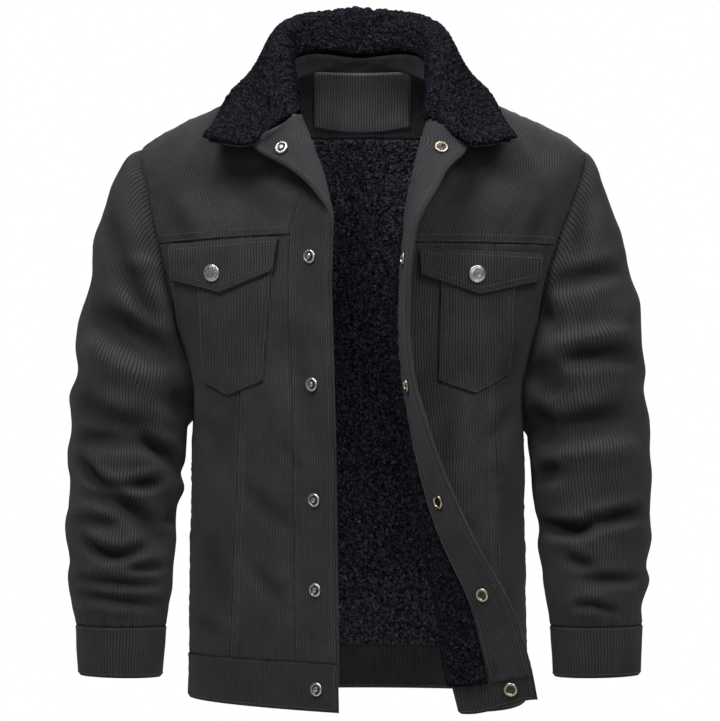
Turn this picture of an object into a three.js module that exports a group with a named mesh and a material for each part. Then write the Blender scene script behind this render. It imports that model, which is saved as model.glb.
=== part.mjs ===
// Sherpa lined corduroy trucker jacket, worn open, as hollow cloth.
// Millimetres, +Z up, the front faces -Y, +X is the wearer's left.
// The origin lies between the shoulders, where the wearer carries the jacket.
import * as THREE from 'three';

// Cloth walls and gaps
const CLOTH = 2.2;
const DOUBLE_CLOTH = 4.0;
const PILE = 6.2;
const COLLAR_PILE = 9.0;
const LAYER_GAP = 0.8;
const FACING_GAP = 1.4;
const SEAM = 0.25;
const INNER_SEAM = 0.9;
const ROW_SEAM = 0.003;

// Widths of the strips at the front edges
const PLACKET_WIDTH = 52;

// Snap fasteners
const SNAP_RADIUS = 7.25;
const FLAP_CAP_RADIUS = 9.2;

const table = (columns, rows) => rows.map(
  (row) => Object.fromEntries(columns.map((column, i) => [column, row[i]])));

// The body's cross sections, from the hem up to the neck seam.
const LEVELS = table(
  ['name', 'zBack', 'zSide', 'zFront', 'tilt', 'halfRight', 'halfLeft', 'back'], [
    ['hem', -645, -643, -650, 1, 186, 181, 122],
    ['bandSeam', -596, -595, -599, 1, 185, 180, 121],
    ['low', -530, -530, -531, 0, 184, 179, 117],
    ['waist', -460, -460, -460, 0, 183, 178, 113],
    ['mid', -380, -380, -380, 0, 182, 177.5, 117],
    ['under', -300, -300, -300, 0, 183, 178, 125],
    ['chest', -229, -229, -229, 0, 209, 201, 130],
    ['yoke', -150, -158.5, -152, 4, 235, 224, 131],
    ['upper', -92, -102, -117, 2, 243, 240, 127],
    ['tip', -40, -52, -84, 0, 235, 238, 115],
    ['slope', 12, -9, -48, 0, 157, 157, 92],
    ['neck', 50, 25, -22, 0, 77, 74, 61]]);

// The front edges: where the cloth turns or ends, its heading there, and the turned flap.
const RIGHT_EDGE = table(
  ['x', 'y', 'heading', 'roll', 'open', 'flap', 'drop'], [
    [-23, -140, 34, 9, 0, 0, 0],
    [-24, -140, 35, 9, 0, 0, 0],
    [-25, -141, 36, 9, 0, 0, 0],
    [-26, -142, 36, 9, 0, 0, 0],
    [-27, -143, 36, 9, 0, 0, 0],
    [-29, -143, 36, 9, 0, 0, 0],
    [-31, -142, 36, 9, 0, 0, 0],
    [-34, -138, 38, 9, 20, 1, 0],
    [-39, -124, 42, 9, 90, 5, 0],
    [-46, -104, 50, 10, 135, 15, 0],
    [-58, -82, 58, 10, 140, 45, -6],
    [-68, -62, 72, 10, 60, 2, -1]]);
const LEFT_EDGE = table(
  ['x', 'y', 'heading', 'roll', 'open', 'flap', 'drop'], [
    [115, -108, 3, 8, 164, 74, 17],
    [103, -110, 3, 8, 160, 79, 9],
    [94, -108, 4, 9, 148, 75, 0],
    [78, -103, 5, 9, 132, 62, 0],
    [67, -97, 6, 9, 111, 52, 0],
    [56, -93, 7, 9, 95, 52, 0],
    [52, -92, 7, 8, 92, 51, 0],
    [55, -95, 8, 7, 92, 50, 0],
    [59, -97, 14, 7, 100, 42, 0],
    [64, -93, 28, 7, 125, 31, 0],
    [71, -78, 50, 7, 140, 36, -5],
    [78, -60, 72, 7, 60, 2, -1]]);
const FULLNESS = { right: { side: 0.3, edge: 0.47 }, left: { side: 0.38, edge: 0.5 } };

const HEM = 0;
const BAND_SEAM = 1;
const YOKE = 7;
const TIP = 9;
const NECK = 11;

// The armhole: its lowest point, and how far it reaches forward and backward.
const UNDERARM_Z = -265;
const ARMHOLE_FRONT = 50;
const ARMHOLE_BACK = 50;
const ARMHOLE_STEPS = 8;

// Smooth value of one column at a level between rows.
function pick(rows, column, t) {
  const last = rows.length - 1;
  const i = Math.min(Math.max(Math.floor(t), 0), last - 1);
  const u = t - i;
  const b = rows[i][column];
  const c = rows[i + 1][column];
  const a = i > 0 ? rows[i - 1][column] : 2 * b - c;
  const d = i + 2 <= last ? rows[i + 2][column] : 2 * c - b;
  const m = (c - a) / 2;
  const n = (d - b) / 2;
  const u2 = u * u;
  const u3 = u2 * u;
  return (2 * u3 - 3 * u2 + 1) * b + (u3 - 2 * u2 + u) * m
    + (3 * u2 - 2 * u3) * c + (u3 - u2) * n;
}

const ease = (u) => u * u * (3 - 2 * u);
const radians = (degrees) => degrees * Math.PI / 180;

function cubic(p0, p1, p2, p3, u) {
  const v = 1 - u;
  return p0.map((_, i) => v * v * v * p0[i] + 3 * v * v * u * p1[i]
    + 3 * v * u * u * p2[i] + u * u * u * p3[i]);
}

// One level's cloth line from the side seam, forward to the front edge or back to the centre.
const lines = new Map();
function clothLine(part, t) {
  const key = part + t.toFixed(6);
  if (lines.has(key)) return lines.get(key);
  const right = part.endsWith('Right');
  const sign = right ? -1 : 1;
  const half = sign * pick(LEVELS, right ? 'halfRight' : 'halfLeft', t);
  const zSide = pick(LEVELS, 'zSide', t);
  const points = [];
  if (part.startsWith('back')) {
    const back = pick(LEVELS, 'back', t);
    const zBack = pick(LEVELS, 'zBack', t);
    for (let i = 0; i <= 60; i += 1) {
      const u = i / 60;
      const [x, y] = cubic([half, 0], [half, 0.56 * back], [0.56 * half, back], [0, back], u);
      points.push([x, y, zSide + (zBack - zSide) * ease(u)]);
    }
  } else {
    const edge = right ? RIGHT_EDGE : LEFT_EDGE;
    const full = right ? FULLNESS.right : FULLNESS.left;
    const value = (column) => pick(edge, column, t);
    const tilt = pick(LEVELS, 'tilt', t) * (right ? 1 : -1);
    const zFront = pick(LEVELS, 'zFront', t) + tilt;
    const end = [value('x'), value('y')];
    const chord = Math.hypot(end[0] - half, end[1]);
    const heading = radians(value('heading'));
    const ahead = [-sign * Math.cos(heading), -Math.sin(heading)];
    const p1 = [half, -full.side * chord];
    const p2 = [end[0] - ahead[0] * full.edge * chord, end[1] - ahead[1] * full.edge * chord];
    for (let i = 0; i <= 60; i += 1) {
      const u = i / 60;
      const [x, y] = cubic([half, 0], p1, p2, end, u);
      points.push([x, y, zSide + (zFront - zSide) * ease(u)]);
    }
    const open = Math.max(radians(value('open')), 0);
    const flap = Math.max(value('flap'), 0);
    const drop = value('drop');
    if (open > 0.01 && flap > 0.2) {
      const radius = value('roll');
      const turn = (angle) => [
        ahead[0] * Math.cos(angle) - sign * ahead[1] * Math.sin(angle),
        ahead[1] * Math.cos(angle) + sign * ahead[0] * Math.sin(angle)];
      let [x, y] = end;
      const steps = 24;
      for (let i = 1; i <= steps; i += 1) {
        const [dx, dy] = turn(open * (i - 0.5) / steps);
        x += dx * radius * open / steps;
        y += dy * radius * open / steps;
        points.push([x, y, zFront]);
      }
      const [dx, dy] = turn(open);
      for (let i = 1; i <= 20; i += 1) {
        const u = i / 20;
        points.push([x + dx * flap * u, y + dy * flap * u, zFront + drop * ease(u)]);
      }
    }
  }
  const lengths = [0];
  for (let i = 1; i < points.length; i += 1) {
    const step = Math.hypot(...points[i].map((value, k) => value - points[i - 1][k]));
    lengths.push(lengths[i - 1] + step);
  }
  const line = { points, lengths, total: lengths[lengths.length - 1] };
  lines.set(key, line);
  return line;
}

function along(part, t, distance) {
  const { points, lengths, total } = clothLine(part, t);
  const d = Math.min(Math.max(distance, 0), total);
  let low = 0;
  let high = lengths.length - 1;
  while (high - low > 1) {
    const middle = (low + high) >> 1;
    if (lengths[middle] <= d) low = middle; else high = middle;
  }
  const u = (distance - lengths[low]) / (lengths[high] - lengths[low]);
  return new THREE.Vector3(...points[low].map((value, k) => value + (points[high][k] - value) * u));
}

// A place on the cloth and the direction that points out of it.
// The place is a fraction of the line's length plus millimetres past it.
function place(part, t, fraction, extra = 0) {
  const sign = part.endsWith('Right') ? -1 : 1;
  const back = part.startsWith('back');
  const at = (tt, ff, mm) => along(part, tt, ff * clothLine(part, tt).total + mm);
  const p = at(t, fraction, extra);
  const total = clothLine(part, t).total;
  const here = fraction * total + extra;
  const ahead = Math.min(here + 1.5, total);
  const behind = Math.max(here - 1.5, 0);
  const du = along(part, t, ahead).sub(along(part, t, behind));
  const above = Math.min(t + 0.02, NECK);
  const below = Math.max(t - 0.02, 0);
  const dt = at(above, fraction, extra).sub(at(below, fraction, extra));
  const n = du.cross(dt).normalize();
  if ((sign < 0) !== back) return { p, n };
  return { p, n: n.negate() };
}

function levelAtSide(z) {
  let low = 0;
  let high = TIP;
  for (let i = 0; i < 50; i += 1) {
    const middle = (low + high) / 2;
    if (pick(LEVELS, 'zSide', middle) < z) low = middle; else high = middle;
  }
  return (low + high) / 2;
}

// Rows at the armhole, from the underarm up to the shoulder tip.
const ARMHOLE = [];
for (let i = 0; i <= ARMHOLE_STEPS; i += 1) {
  const angle = Math.PI * (1 - i / ARMHOLE_STEPS);
  const tipZ = -52;
  const z = (UNDERARM_Z + tipZ) / 2 + (tipZ - UNDERARM_Z) / 2 * Math.cos(angle);
  const level = i === ARMHOLE_STEPS ? TIP : i === ARMHOLE_STEPS / 2 ? YOKE : levelAtSide(z);
  ARMHOLE.push({ level, reach: Math.sin(angle) });
}
const UNDERARM = ARMHOLE[0].level;

// How far the armhole reaches from the side seam at a level.
function reach(t) {
  if (t <= UNDERARM || t >= TIP) return 0;
  const z = pick(LEVELS, 'zSide', t);
  const middle = (UNDERARM_Z - 52) / 2;
  const half = (-52 - UNDERARM_Z) / 2;
  return Math.sqrt(Math.max(1 - ((z - middle) / half) ** 2, 0));
}

// A closed wall from a grid of places, between two distances out of the surface.
function wall(grid, outside, inside, ring = false) {
  const rows = grid.length;
  const columns = grid[0].length;
  const positions = [];
  for (const distance of [outside, inside]) {
    for (const row of grid) {
      for (const { p, n } of row) {
        const q = p.clone().addScaledVector(n, distance);
        positions.push(q.x, q.y, q.z);
      }
    }
  }
  const outer = (i, j) => i * columns + (j % columns);
  const inner = (i, j) => rows * columns + outer(i, j);
  const faces = [];
  const quad = (a, b, c, d) => faces.push(a, b, c, a, c, d);
  const spans = ring ? columns : columns - 1;
  for (let i = 0; i < rows - 1; i += 1) {
    for (let j = 0; j < spans; j += 1) {
      quad(outer(i, j), outer(i, j + 1), outer(i + 1, j + 1), outer(i + 1, j));
      quad(inner(i, j), inner(i + 1, j), inner(i + 1, j + 1), inner(i, j + 1));
    }
    if (!ring) {
      quad(outer(i, 0), outer(i + 1, 0), inner(i + 1, 0), inner(i, 0));
      const e = columns - 1;
      quad(outer(i, e), inner(i, e), inner(i + 1, e), outer(i + 1, e));
    }
  }
  for (let j = 0; j < spans; j += 1) {
    quad(outer(0, j), inner(0, j), inner(0, j + 1), outer(0, j + 1));
    const e = rows - 1;
    quad(outer(e, j), outer(e, j + 1), inner(e, j + 1), inner(e, j));
  }
  const geometry = new THREE.BufferGeometry();
  geometry.setAttribute('position', new THREE.Float32BufferAttribute(positions, 3));
  geometry.setIndex(faces);
  if (volume(positions, faces) < 0) {
    for (let i = 0; i < faces.length; i += 3) {
      [faces[i + 1], faces[i + 2]] = [faces[i + 2], faces[i + 1]];
    }
    geometry.setIndex(faces);
  }
  geometry.computeVertexNormals();
  return geometry;
}

function volume(positions, faces) {
  const at = (i) => new THREE.Vector3(positions[3 * i], positions[3 * i + 1], positions[3 * i + 2]);
  let sum = 0;
  for (let i = 0; i < faces.length; i += 3) {
    sum += at(faces[i]).dot(at(faces[i + 1]).cross(at(faces[i + 2])));
  }
  return sum / 6;
}

// Materials
const CORDUROY = new THREE.MeshStandardMaterial({ color: '#37383c', roughness: 0.95 });
const SHERPA = new THREE.MeshStandardMaterial({ color: '#1f1f29', roughness: 1 });
const PATCH = new THREE.MeshStandardMaterial({ color: '#2b2c31', roughness: 0.9 });
const NICKEL = new THREE.MeshStandardMaterial({ color: '#b9b8b4', roughness: 0.3, metalness: 1 });

const jacket = new THREE.Group();
function add(name, geometry, material) {
  const mesh = new THREE.Mesh(geometry, material.clone());
  mesh.name = name;
  jacket.add(mesh);
  return mesh;
}

// Levels for a panel's rows, with the seam gap at both ends.
function levels(from, to, stops, fromGap = ROW_SEAM, toGap = ROW_SEAM) {
  const inside = stops.filter((t) => t > from + 0.02 && t < to - 0.02);
  return [from + fromGap, ...inside, to - toGap];
}
const ROW_STOPS = [1, 2, 2.5, 3, 3.5, 4, 4.5, 5, ...ARMHOLE.map((row) => row.level),
  9.25, 9.5, 9.75, 10, 10.25, 10.5, 10.75].sort((a, b) => a - b).filter((t, i, all) => i === 0 || t - all[i - 1] > 0.04);

// Columns of a front, as distances from the side seam: side panel, centre panel, placket.
const SIDE_SPANS = 3;
const CENTRE_SPANS = 4;
const EDGE_SPANS = 7;
const BACK_SPANS = 6;
const armholeFront = (t) => ARMHOLE_FRONT * reach(t);
const armholeBack = (t) => ARMHOLE_BACK * reach(t);

// The long seam from the pocket down to the waistband, by its distance from the middle.
const PRINCESS = { frontRight: { top: -121, bottom: -138 }, frontLeft: { top: 143, bottom: 146 } };
function princessSeam(part, t) {
  const { top, bottom } = PRINCESS[part];
  const target = bottom + (top - bottom) * Math.min(Math.max((t - 1) / 6, 0), 1);
  const { points, lengths, total } = clothLine(part, t);
  const floor = armholeFront(t) + 0.25 * (total - PLACKET_WIDTH - armholeFront(t));
  for (let i = 1; i < 61; i += 1) {
    const before = points[i - 1][0] - target;
    const after = points[i][0] - target;
    if (before * after <= 0 && lengths[i] > 1) {
      const d = lengths[i - 1] + (lengths[i] - lengths[i - 1]) * before / (before - after);
      return Math.max(d, floor);
    }
  }
  return floor;
}

function frontColumns(part, t) {
  const { total } = clothLine(part, t);
  const start = armholeFront(t);
  const princess = princessSeam(part, t);
  const placket = total - PLACKET_WIDTH;
  const columns = [];
  for (let j = 0; j < SIDE_SPANS; j += 1) columns.push(start + (princess - start) * j / SIDE_SPANS);
  for (let j = 0; j < CENTRE_SPANS; j += 1) {
    columns.push(princess + (placket - princess) * j / CENTRE_SPANS);
  }
  for (let j = 0; j <= EDGE_SPANS; j += 1) {
    columns.push(placket + PLACKET_WIDTH * j / EDGE_SPANS);
  }
  return columns;
}
const PRINCESS_COLUMN = SIDE_SPANS;
const PLACKET_COLUMN = SIDE_SPANS + CENTRE_SPANS;
const LAST_COLUMN = PLACKET_COLUMN + EDGE_SPANS;

function frontPanel(part, rows, from, to, gap = SEAM) {
  return rows.map((t) => {
    const columns = frontColumns(part, t).slice(from, to + 1);
    columns[0] += from > 0 ? gap : SEAM;
    if (to < LAST_COLUMN) columns[columns.length - 1] -= gap;
    return columns.map((distance) => place(part, t, 0, distance));
  });
}

// The back from side seam to side seam, or the part of it that lies past the armholes.
function backPanel(rows) {
  return rows.map((t) => {
    const half = (part) => {
      const { total } = clothLine(part, t);
      const start = armholeBack(t) + SEAM;
      const line = [];
      for (let j = 0; j <= BACK_SPANS; j += 1) {
        line.push(place(part, t, 0, start + (total - start) * j / BACK_SPANS));
      }
      return line;
    };
    return [...half('backRight'), ...half('backLeft').reverse().slice(1)];
  });
}

const SHELL = [0, -CLOTH];
const FACING = [-CLOTH - FACING_GAP, -2 * CLOTH - FACING_GAP];
const LINING = [-CLOTH - LAYER_GAP, -CLOTH - LAYER_GAP - PILE];
const BODY_ROWS = levels(BAND_SEAM, YOKE, ROW_STOPS);
const YOKE_ROWS = levels(YOKE, NECK, ROW_STOPS);
const WHOLE_ROWS = levels(BAND_SEAM, NECK, ROW_STOPS);

// Fronts, each with a side panel, a centre panel, a yoke, a placket and what lies behind
for (const [part, side] of [['frontRight', 'right'], ['frontLeft', 'left']]) {
  add(`front_side_${side}`, wall(frontPanel(part, BODY_ROWS, 0, PRINCESS_COLUMN), ...SHELL),
    CORDUROY);
  add(`front_centre_${side}`, wall(frontPanel(part, BODY_ROWS, PRINCESS_COLUMN,
    PLACKET_COLUMN), ...SHELL), CORDUROY);
  add(`front_yoke_${side}`, wall(frontPanel(part, YOKE_ROWS, 0, PLACKET_COLUMN), ...SHELL),
    CORDUROY);
  add(`placket_${side}`, wall(frontPanel(part, WHOLE_ROWS, PLACKET_COLUMN, LAST_COLUMN),
    ...SHELL), CORDUROY);
  add(`facing_${side}`, wall(frontPanel(part, WHOLE_ROWS, PLACKET_COLUMN, LAST_COLUMN,
    INNER_SEAM), ...FACING), CORDUROY);
  add(`lining_${side}`, wall(frontPanel(part, WHOLE_ROWS, 0, PLACKET_COLUMN, INNER_SEAM),
    ...LINING), SHERPA);
}

// Back, with the plain facing inside the neck and the patch on it
const NECK_FACING_LEVEL = 9.12;
add('back_panel', wall(backPanel(WHOLE_ROWS), ...SHELL), CORDUROY);
add('lining_back', wall(backPanel(levels(BAND_SEAM, NECK_FACING_LEVEL, ROW_STOPS)), ...LINING),
  SHERPA);
add('back_neck_facing', wall(backPanel(levels(NECK_FACING_LEVEL, NECK, ROW_STOPS)), ...FACING),
  CORDUROY);

// Waistband, doubled cloth in three lengths
const BAND = [0, -DOUBLE_CLOTH];
const BAND_ROWS = [HEM, 0.5, BAND_SEAM - ROW_SEAM];
add('waistband_right', wall(frontPanel('frontRight', BAND_ROWS, 0, LAST_COLUMN), ...BAND),
  CORDUROY);
add('waistband_left', wall(frontPanel('frontLeft', BAND_ROWS, 0, LAST_COLUMN), ...BAND),
  CORDUROY);
add('waistband_back', wall(backPanel(BAND_ROWS), ...BAND), CORDUROY);

// A place on a front or back that is seen at x and z from the front.
function seat(part, x, z) {
  let t = 5;
  let distance = 0;
  const sign = part.endsWith('Right') ? -1 : 1;
  const limit = part.startsWith('back') ? 61 : 58;
  for (let round = 0; round < 12; round += 1) {
    const { points, lengths } = clothLine(part, t);
    distance = lengths[limit - 1];
    for (let i = 1; i < limit; i += 1) {
      const before = sign * points[i - 1][0] - sign * x;
      const after = sign * points[i][0] - sign * x;
      if (before >= 0 && after < 0) {
        distance = lengths[i - 1] + (lengths[i] - lengths[i - 1]) * before / (before - after);
        break;
      }
    }
    let low = 0;
    let high = NECK;
    for (let i = 0; i < 24; i += 1) {
      const middle = (low + high) / 2;
      if (along(part, middle, distance).z < z) low = middle; else high = middle;
    }
    t = (low + high) / 2;
  }
  return place(part, t, 0, distance);
}

// A pointed piece that lies on a front, between its top and its lower edge.
function pointed(part, top, bottom, point, columns, rows) {
  const grid = [];
  for (let i = 0; i <= rows; i += 1) {
    const row = [];
    for (let j = 0; j <= columns; j += 1) {
      const c = j / columns;
      const mix = (a, b) => a + (b - a) * c;
      const half = c < point.at ? c / point.at : (1 - c) / (1 - point.at);
      const zTop = mix(top.z[0], top.z[1]);
      const straight = mix(bottom.z[0], bottom.z[1]);
      const zBottom = straight - point.drop * half;
      const r = i / rows;
      const x = mix(top.x[0], top.x[1]) * (1 - r) + mix(bottom.x[0], bottom.x[1]) * r;
      row.push(seat(part, x, zTop + (zBottom - zTop) * r));
    }
    grid.push(row);
  }
  return grid;
}

// Chest pockets and their flaps, outermost edge first
const POCKET = {
  right: [{ x: [-173, -92], z: [-200, -198] }, { x: [-167, -102], z: [-304, -303] },
    { at: 0.42, drop: 15 }],
  left: [{ x: [165, 85], z: [-204, -200] }, { x: [161, 82], z: [-296, -303] },
    { at: 0.5, drop: 17 }] };
const FLAP = {
  right: [{ x: [-203, -85], z: [-158, -151] }, { x: [-199, -90], z: [-195, -187] },
    { at: 0.48, drop: 18 }],
  left: [{ x: [193, 62], z: [-167, -162] }, { x: [189, 63], z: [-196, -190] },
    { at: 0.5, drop: 18 }] };
for (const [part, side] of [['frontRight', 'right'], ['frontLeft', 'left']]) {
  add(`pocket_${side}`, wall(pointed(part, ...POCKET[side], 8, 4), 2.6, 1.1), CORDUROY);
  add(`pocket_flap_${side}`, wall(pointed(part, ...FLAP[side], 8, 3), 5.6, 3.3), CORDUROY);
}

// Blank patch inside the neck
const PATCH_SIZE = { left: -49, right: 52, top: 33, bottom: -24, point: 6 };
const patchRows = [];
for (let i = 0; i <= 3; i += 1) {
  const row = [];
  for (let j = 0; j <= 6; j += 1) {
    const x = PATCH_SIZE.left + (PATCH_SIZE.right - PATCH_SIZE.left) * j / 6;
    const bottom = PATCH_SIZE.bottom - PATCH_SIZE.point * Math.sin(Math.PI * j / 6);
    const z = PATCH_SIZE.top + (bottom - PATCH_SIZE.top) * i / 3;
    row.push(seat(x < 0 ? 'backRight' : 'backLeft', x, z));
  }
  patchRows.push(row);
}
add('neck_patch', wall(patchRows, FACING[1] - 0.9, FACING[1] - 2.4), PATCH);

// Collar: the fold-over line and the leaf, from the middle of the back round to the front.
const COLLAR = table(
  ['rollX', 'rollY', 'rollZ', 'midX', 'midY', 'midZ', 'edgeX', 'edgeY', 'edgeZ'], [
    [0, 70, 98, 0, 92, 62, 0, 101, 13],
    [-62, 53, 88, -87, 70, 52, -101, 78, 10],
    [-85, 0, 67, -116, 0, 27, -147, 0, 5],
    [-83, -34, 36, -117, -42, -3, -161, -54, -33],
    [-78, -66, -13, -117, -84, -42, -163, -82, -43]]);
const COLLAR_STATIONS = 22;
const COLLAR_STEPS = 8;

// Directions out of a grid of points, from their neighbours.
function withNormals(grid, sign, ring = false) {
  const columns = grid[0].length;
  return grid.map((row, i) => row.map((p, j) => {
    const left = ring ? row[(j - 1 + columns) % columns] : row[Math.max(j - 1, 0)];
    const right = ring ? row[(j + 1) % columns] : row[Math.min(j + 1, columns - 1)];
    const up = grid[Math.max(i - 1, 0)][j];
    const down = grid[Math.min(i + 1, grid.length - 1)][j];
    const across = right.clone().sub(left);
    const n = across.cross(down.clone().sub(up)).normalize().multiplyScalar(sign);
    return { p, n };
  }));
}

const collarGrid = [];
for (let j = 0; j <= COLLAR_STATIONS; j += 1) {
  const c = 2 * j / COLLAR_STATIONS - 1;
  const side = c < 0 ? 'Right' : 'Left';
  const sign = c < 0 ? 1 : -1;
  const a = Math.abs(c);
  const base = a < 0.5 ? along(`back${side}`, NECK, (1 - 2 * a) * clothLine(`back${side}`, NECK).total)
    : along(`front${side}`, NECK, (2 * a - 1) * clothLine(`front${side}`, NECK).lengths[60]);
  const knot = (name) => {
    return new THREE.Vector3(sign * pick(COLLAR, `${name}X`, 4 * a), pick(COLLAR, `${name}Y`, 4 * a),
      pick(COLLAR, `${name}Z`, 4 * a));
  };
  const foot = base.clone().add(new THREE.Vector3(0, 0, 1));
  const roll = knot('roll');
  const stand = foot.clone().lerp(roll, 0.55);
  stand.addScaledVector(new THREE.Vector3(base.x - roll.x, base.y - roll.y, 0), 0.25);
  const curve = new THREE.CatmullRomCurve3([foot, stand, roll, knot('mid'), knot('edge')]);
  collarGrid.push(curve.getSpacedPoints(COLLAR_STEPS));
}
const collar = withNormals(collarGrid, -1);
add('collar', wall(collar, 0.5, COLLAR_PILE), SHERPA);
add('under_collar', wall(collar, -1.0, -1.0 - CLOTH), CORDUROY);

// Sleeves: outline seen from the front, then depth and how far forward the middle lies.
const SLEEVE_COLUMNS = ['outX', 'outZ', 'inX', 'inZ', 'depth', 'y'];
const SLEEVES = {
  right: table(SLEEVE_COLUMNS, [
    [-235, -52, -190, -265, 50, 0],
    [-251, -64, -194, -274, 55, 0],
    [-267, -92, -193, -288, 60, 0],
    [-275, -121, -191.5, -301, 64, 0],
    [-286, -154, -190, -315, 67, 1],
    [-288, -191, -188, -329, 69, 2],
    [-301, -236, -187.5, -343, 70, 3],
    [-306, -264, -188, -358, 70, 4],
    [-304, -295, -189, -374, 69, 4],
    [-312, -320, -191, -390, 68, 3],
    [-309, -347, -195, -403, 66, 1],
    [-314, -381, -191, -419, 65, -2],
    [-311, -410, -197, -435, 63, -6],
    [-312, -437, -199, -456, 61, -11],
    [-316, -462, -199, -476, 59, -17],
    [-311, -495, -202, -503, 56, -24],
    [-312, -516, -203, -525, 54, -29],
    [-307, -540, -206, -545, 51, -34],
    [-302, -563, -209, -564, 44, -38],
    [-301, -590, -211, -591, 42, -41],
    [-299, -616, -213, -618, 41, -43]]),
  left: table(SLEEVE_COLUMNS, [
    [238, -52, 188, -265, 50, 0],
    [251, -66, 192, -274, 55, 0],
    [262, -94, 191, -288, 60, 0],
    [272, -124, 189, -301, 64, 0],
    [283, -151, 187, -315, 67, 1],
    [289, -187, 184.5, -329, 69, 2],
    [301, -217, 183.5, -343, 70, 3],
    [303, -262, 183, -358, 70, 4],
    [307, -291, 184, -374, 69, 4],
    [305, -314, 186, -390, 68, 3],
    [311.5, -346, 187, -405, 66, 1],
    [311, -380, 188, -424, 65, -2],
    [313, -408, 190, -443, 63, -6],
    [310, -446, 195, -462, 61, -11],
    [311.5, -471, 193, -482, 59, -17],
    [305.5, -500, 197, -505, 56, -24],
    [308, -517, 199, -525, 54, -29],
    [301, -541, 202, -545, 51, -34],
    [300, -563, 205, -564, 44, -38],
    [299, -590, 207, -591, 42, -41],
    [298, -616, 208, -618, 41, -43]]) };
const SLEEVE_END = 18;
const CUFF_END = 20;
const SLEEVE_SIDES = 2 * ARMHOLE_STEPS;
const UNDERARM_EASE = 2.5;

// Folds in the sleeves, each a curve through three points seen from the front.
// Depth is how far a trough sinks, and a ridge has it below zero.
const FOLD_COLUMNS = ['x1', 'z1', 'x2', 'z2', 'x3', 'z3', 'width', 'depth'];
const FOLDS = {
  right: table(FOLD_COLUMNS, [
    [-263, -123, -258, -166, -224, -230, 12, 3],
    [-251, -176, -232, -177, -213, -182, 9, -2.5],
    [-245, -184, -229, -220, -211, -238, 10, 4],
    [-290, -230, -250, -247, -198, -278, 15, 6],
    [-299, -266, -256, -287, -205, -310, 12, -4],
    [-299, -316, -266, -345, -213, -352, 12, 5],
    [-303, -363, -271, -366, -237, -366, 10, 4],
    [-237, -366, -218, -375, -202, -391, 10, 4],
    [-297, -383, -268, -412, -214, -411, 9, 5],
    [-284, -426, -246, -437, -212, -474, 10, 5],
    [-305, -449, -279, -454, -253, -455, 9, 3.5],
    [-297, -465, -264, -487, -227, -476, 9, 4]]),
  left: table(FOLD_COLUMNS, [
    [232, -89, 233, -127, 231, -169, 12, 3],
    [205, -196, 240, -192, 279, -183, 10, 4],
    [203, -269, 245, -257, 292, -255, 12, -4],
    [213, -283, 251, -274, 299, -276, 11, 5],
    [208, -348, 247, -345, 280, -336, 12, 4],
    [202, -385, 251, -378, 299, -371, 11, -4],
    [196, -404, 206, -400, 216, -394, 9, 4],
    [200, -458, 227, -461, 304, -441, 10, 5],
    [233, -512, 267, -513, 300, -512, 9, 3]]) };

function foldDepth(folds, x, z) {
  let depth = 0;
  for (const fold of folds) {
    const bendX = 2 * fold.x2 - (fold.x1 + fold.x3) / 2;
    const bendZ = 2 * fold.z2 - (fold.z1 + fold.z3) / 2;
    let best = Infinity;
    let where = 0;
    for (let i = 0; i <= 16; i += 1) {
      const u = i / 16;
      const v = 1 - u;
      const px = v * v * fold.x1 + 2 * v * u * bendX + u * u * fold.x3;
      const pz = v * v * fold.z1 + 2 * v * u * bendZ + u * u * fold.z3;
      const distance = Math.hypot(x - px, z - pz);
      if (distance < best) {
        best = distance;
        where = u;
      }
    }
    const taper = 0.35 + 0.65 * Math.sin(Math.PI * where);
    depth += fold.depth * taper * Math.exp(-((best / fold.width) ** 2));
  }
  return depth;
}

function sleevePoint(side, u, angle) {
  const rows = SLEEVES[side];
  const value = (column) => pick(rows, column, u);
  const cos = Math.cos(angle);
  const sin = Math.sin(angle);
  return new THREE.Vector3(
    (value('outX') + value('inX')) / 2 + (value('outX') - value('inX')) / 2 * cos,
    value('y') - value('depth') * sin,
    (value('outZ') + value('inZ')) / 2 + (value('outZ') - value('inZ')) / 2 * cos);
}

// The seam line round the armhole, a little inside its edge.
function armholeRing(side) {
  const ring = [];
  for (let j = 0; j < SLEEVE_SIDES; j += 1) {
    const front = j <= ARMHOLE_STEPS;
    const step = front ? ARMHOLE_STEPS - j : j - ARMHOLE_STEPS;
    const { level, reach: far } = ARMHOLE[step];
    const angle = 2 * Math.PI * j / SLEEVE_SIDES;
    const part = (front ? 'front' : 'back') + (side === 'right' ? 'Right' : 'Left');
    const under = Math.max(-Math.cos(angle), 0);
    const inside = 2 * SEAM + UNDERARM_EASE * under;
    const distance = (front ? ARMHOLE_FRONT : ARMHOLE_BACK) * far - inside * Math.sin(angle) ** 2;
    const lift = -0.014 * Math.cos(angle) + 0.03 * under;
    ring.push(place(part, level + lift, 0, Math.max(distance, 0)));
  }
  return ring;
}

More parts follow.
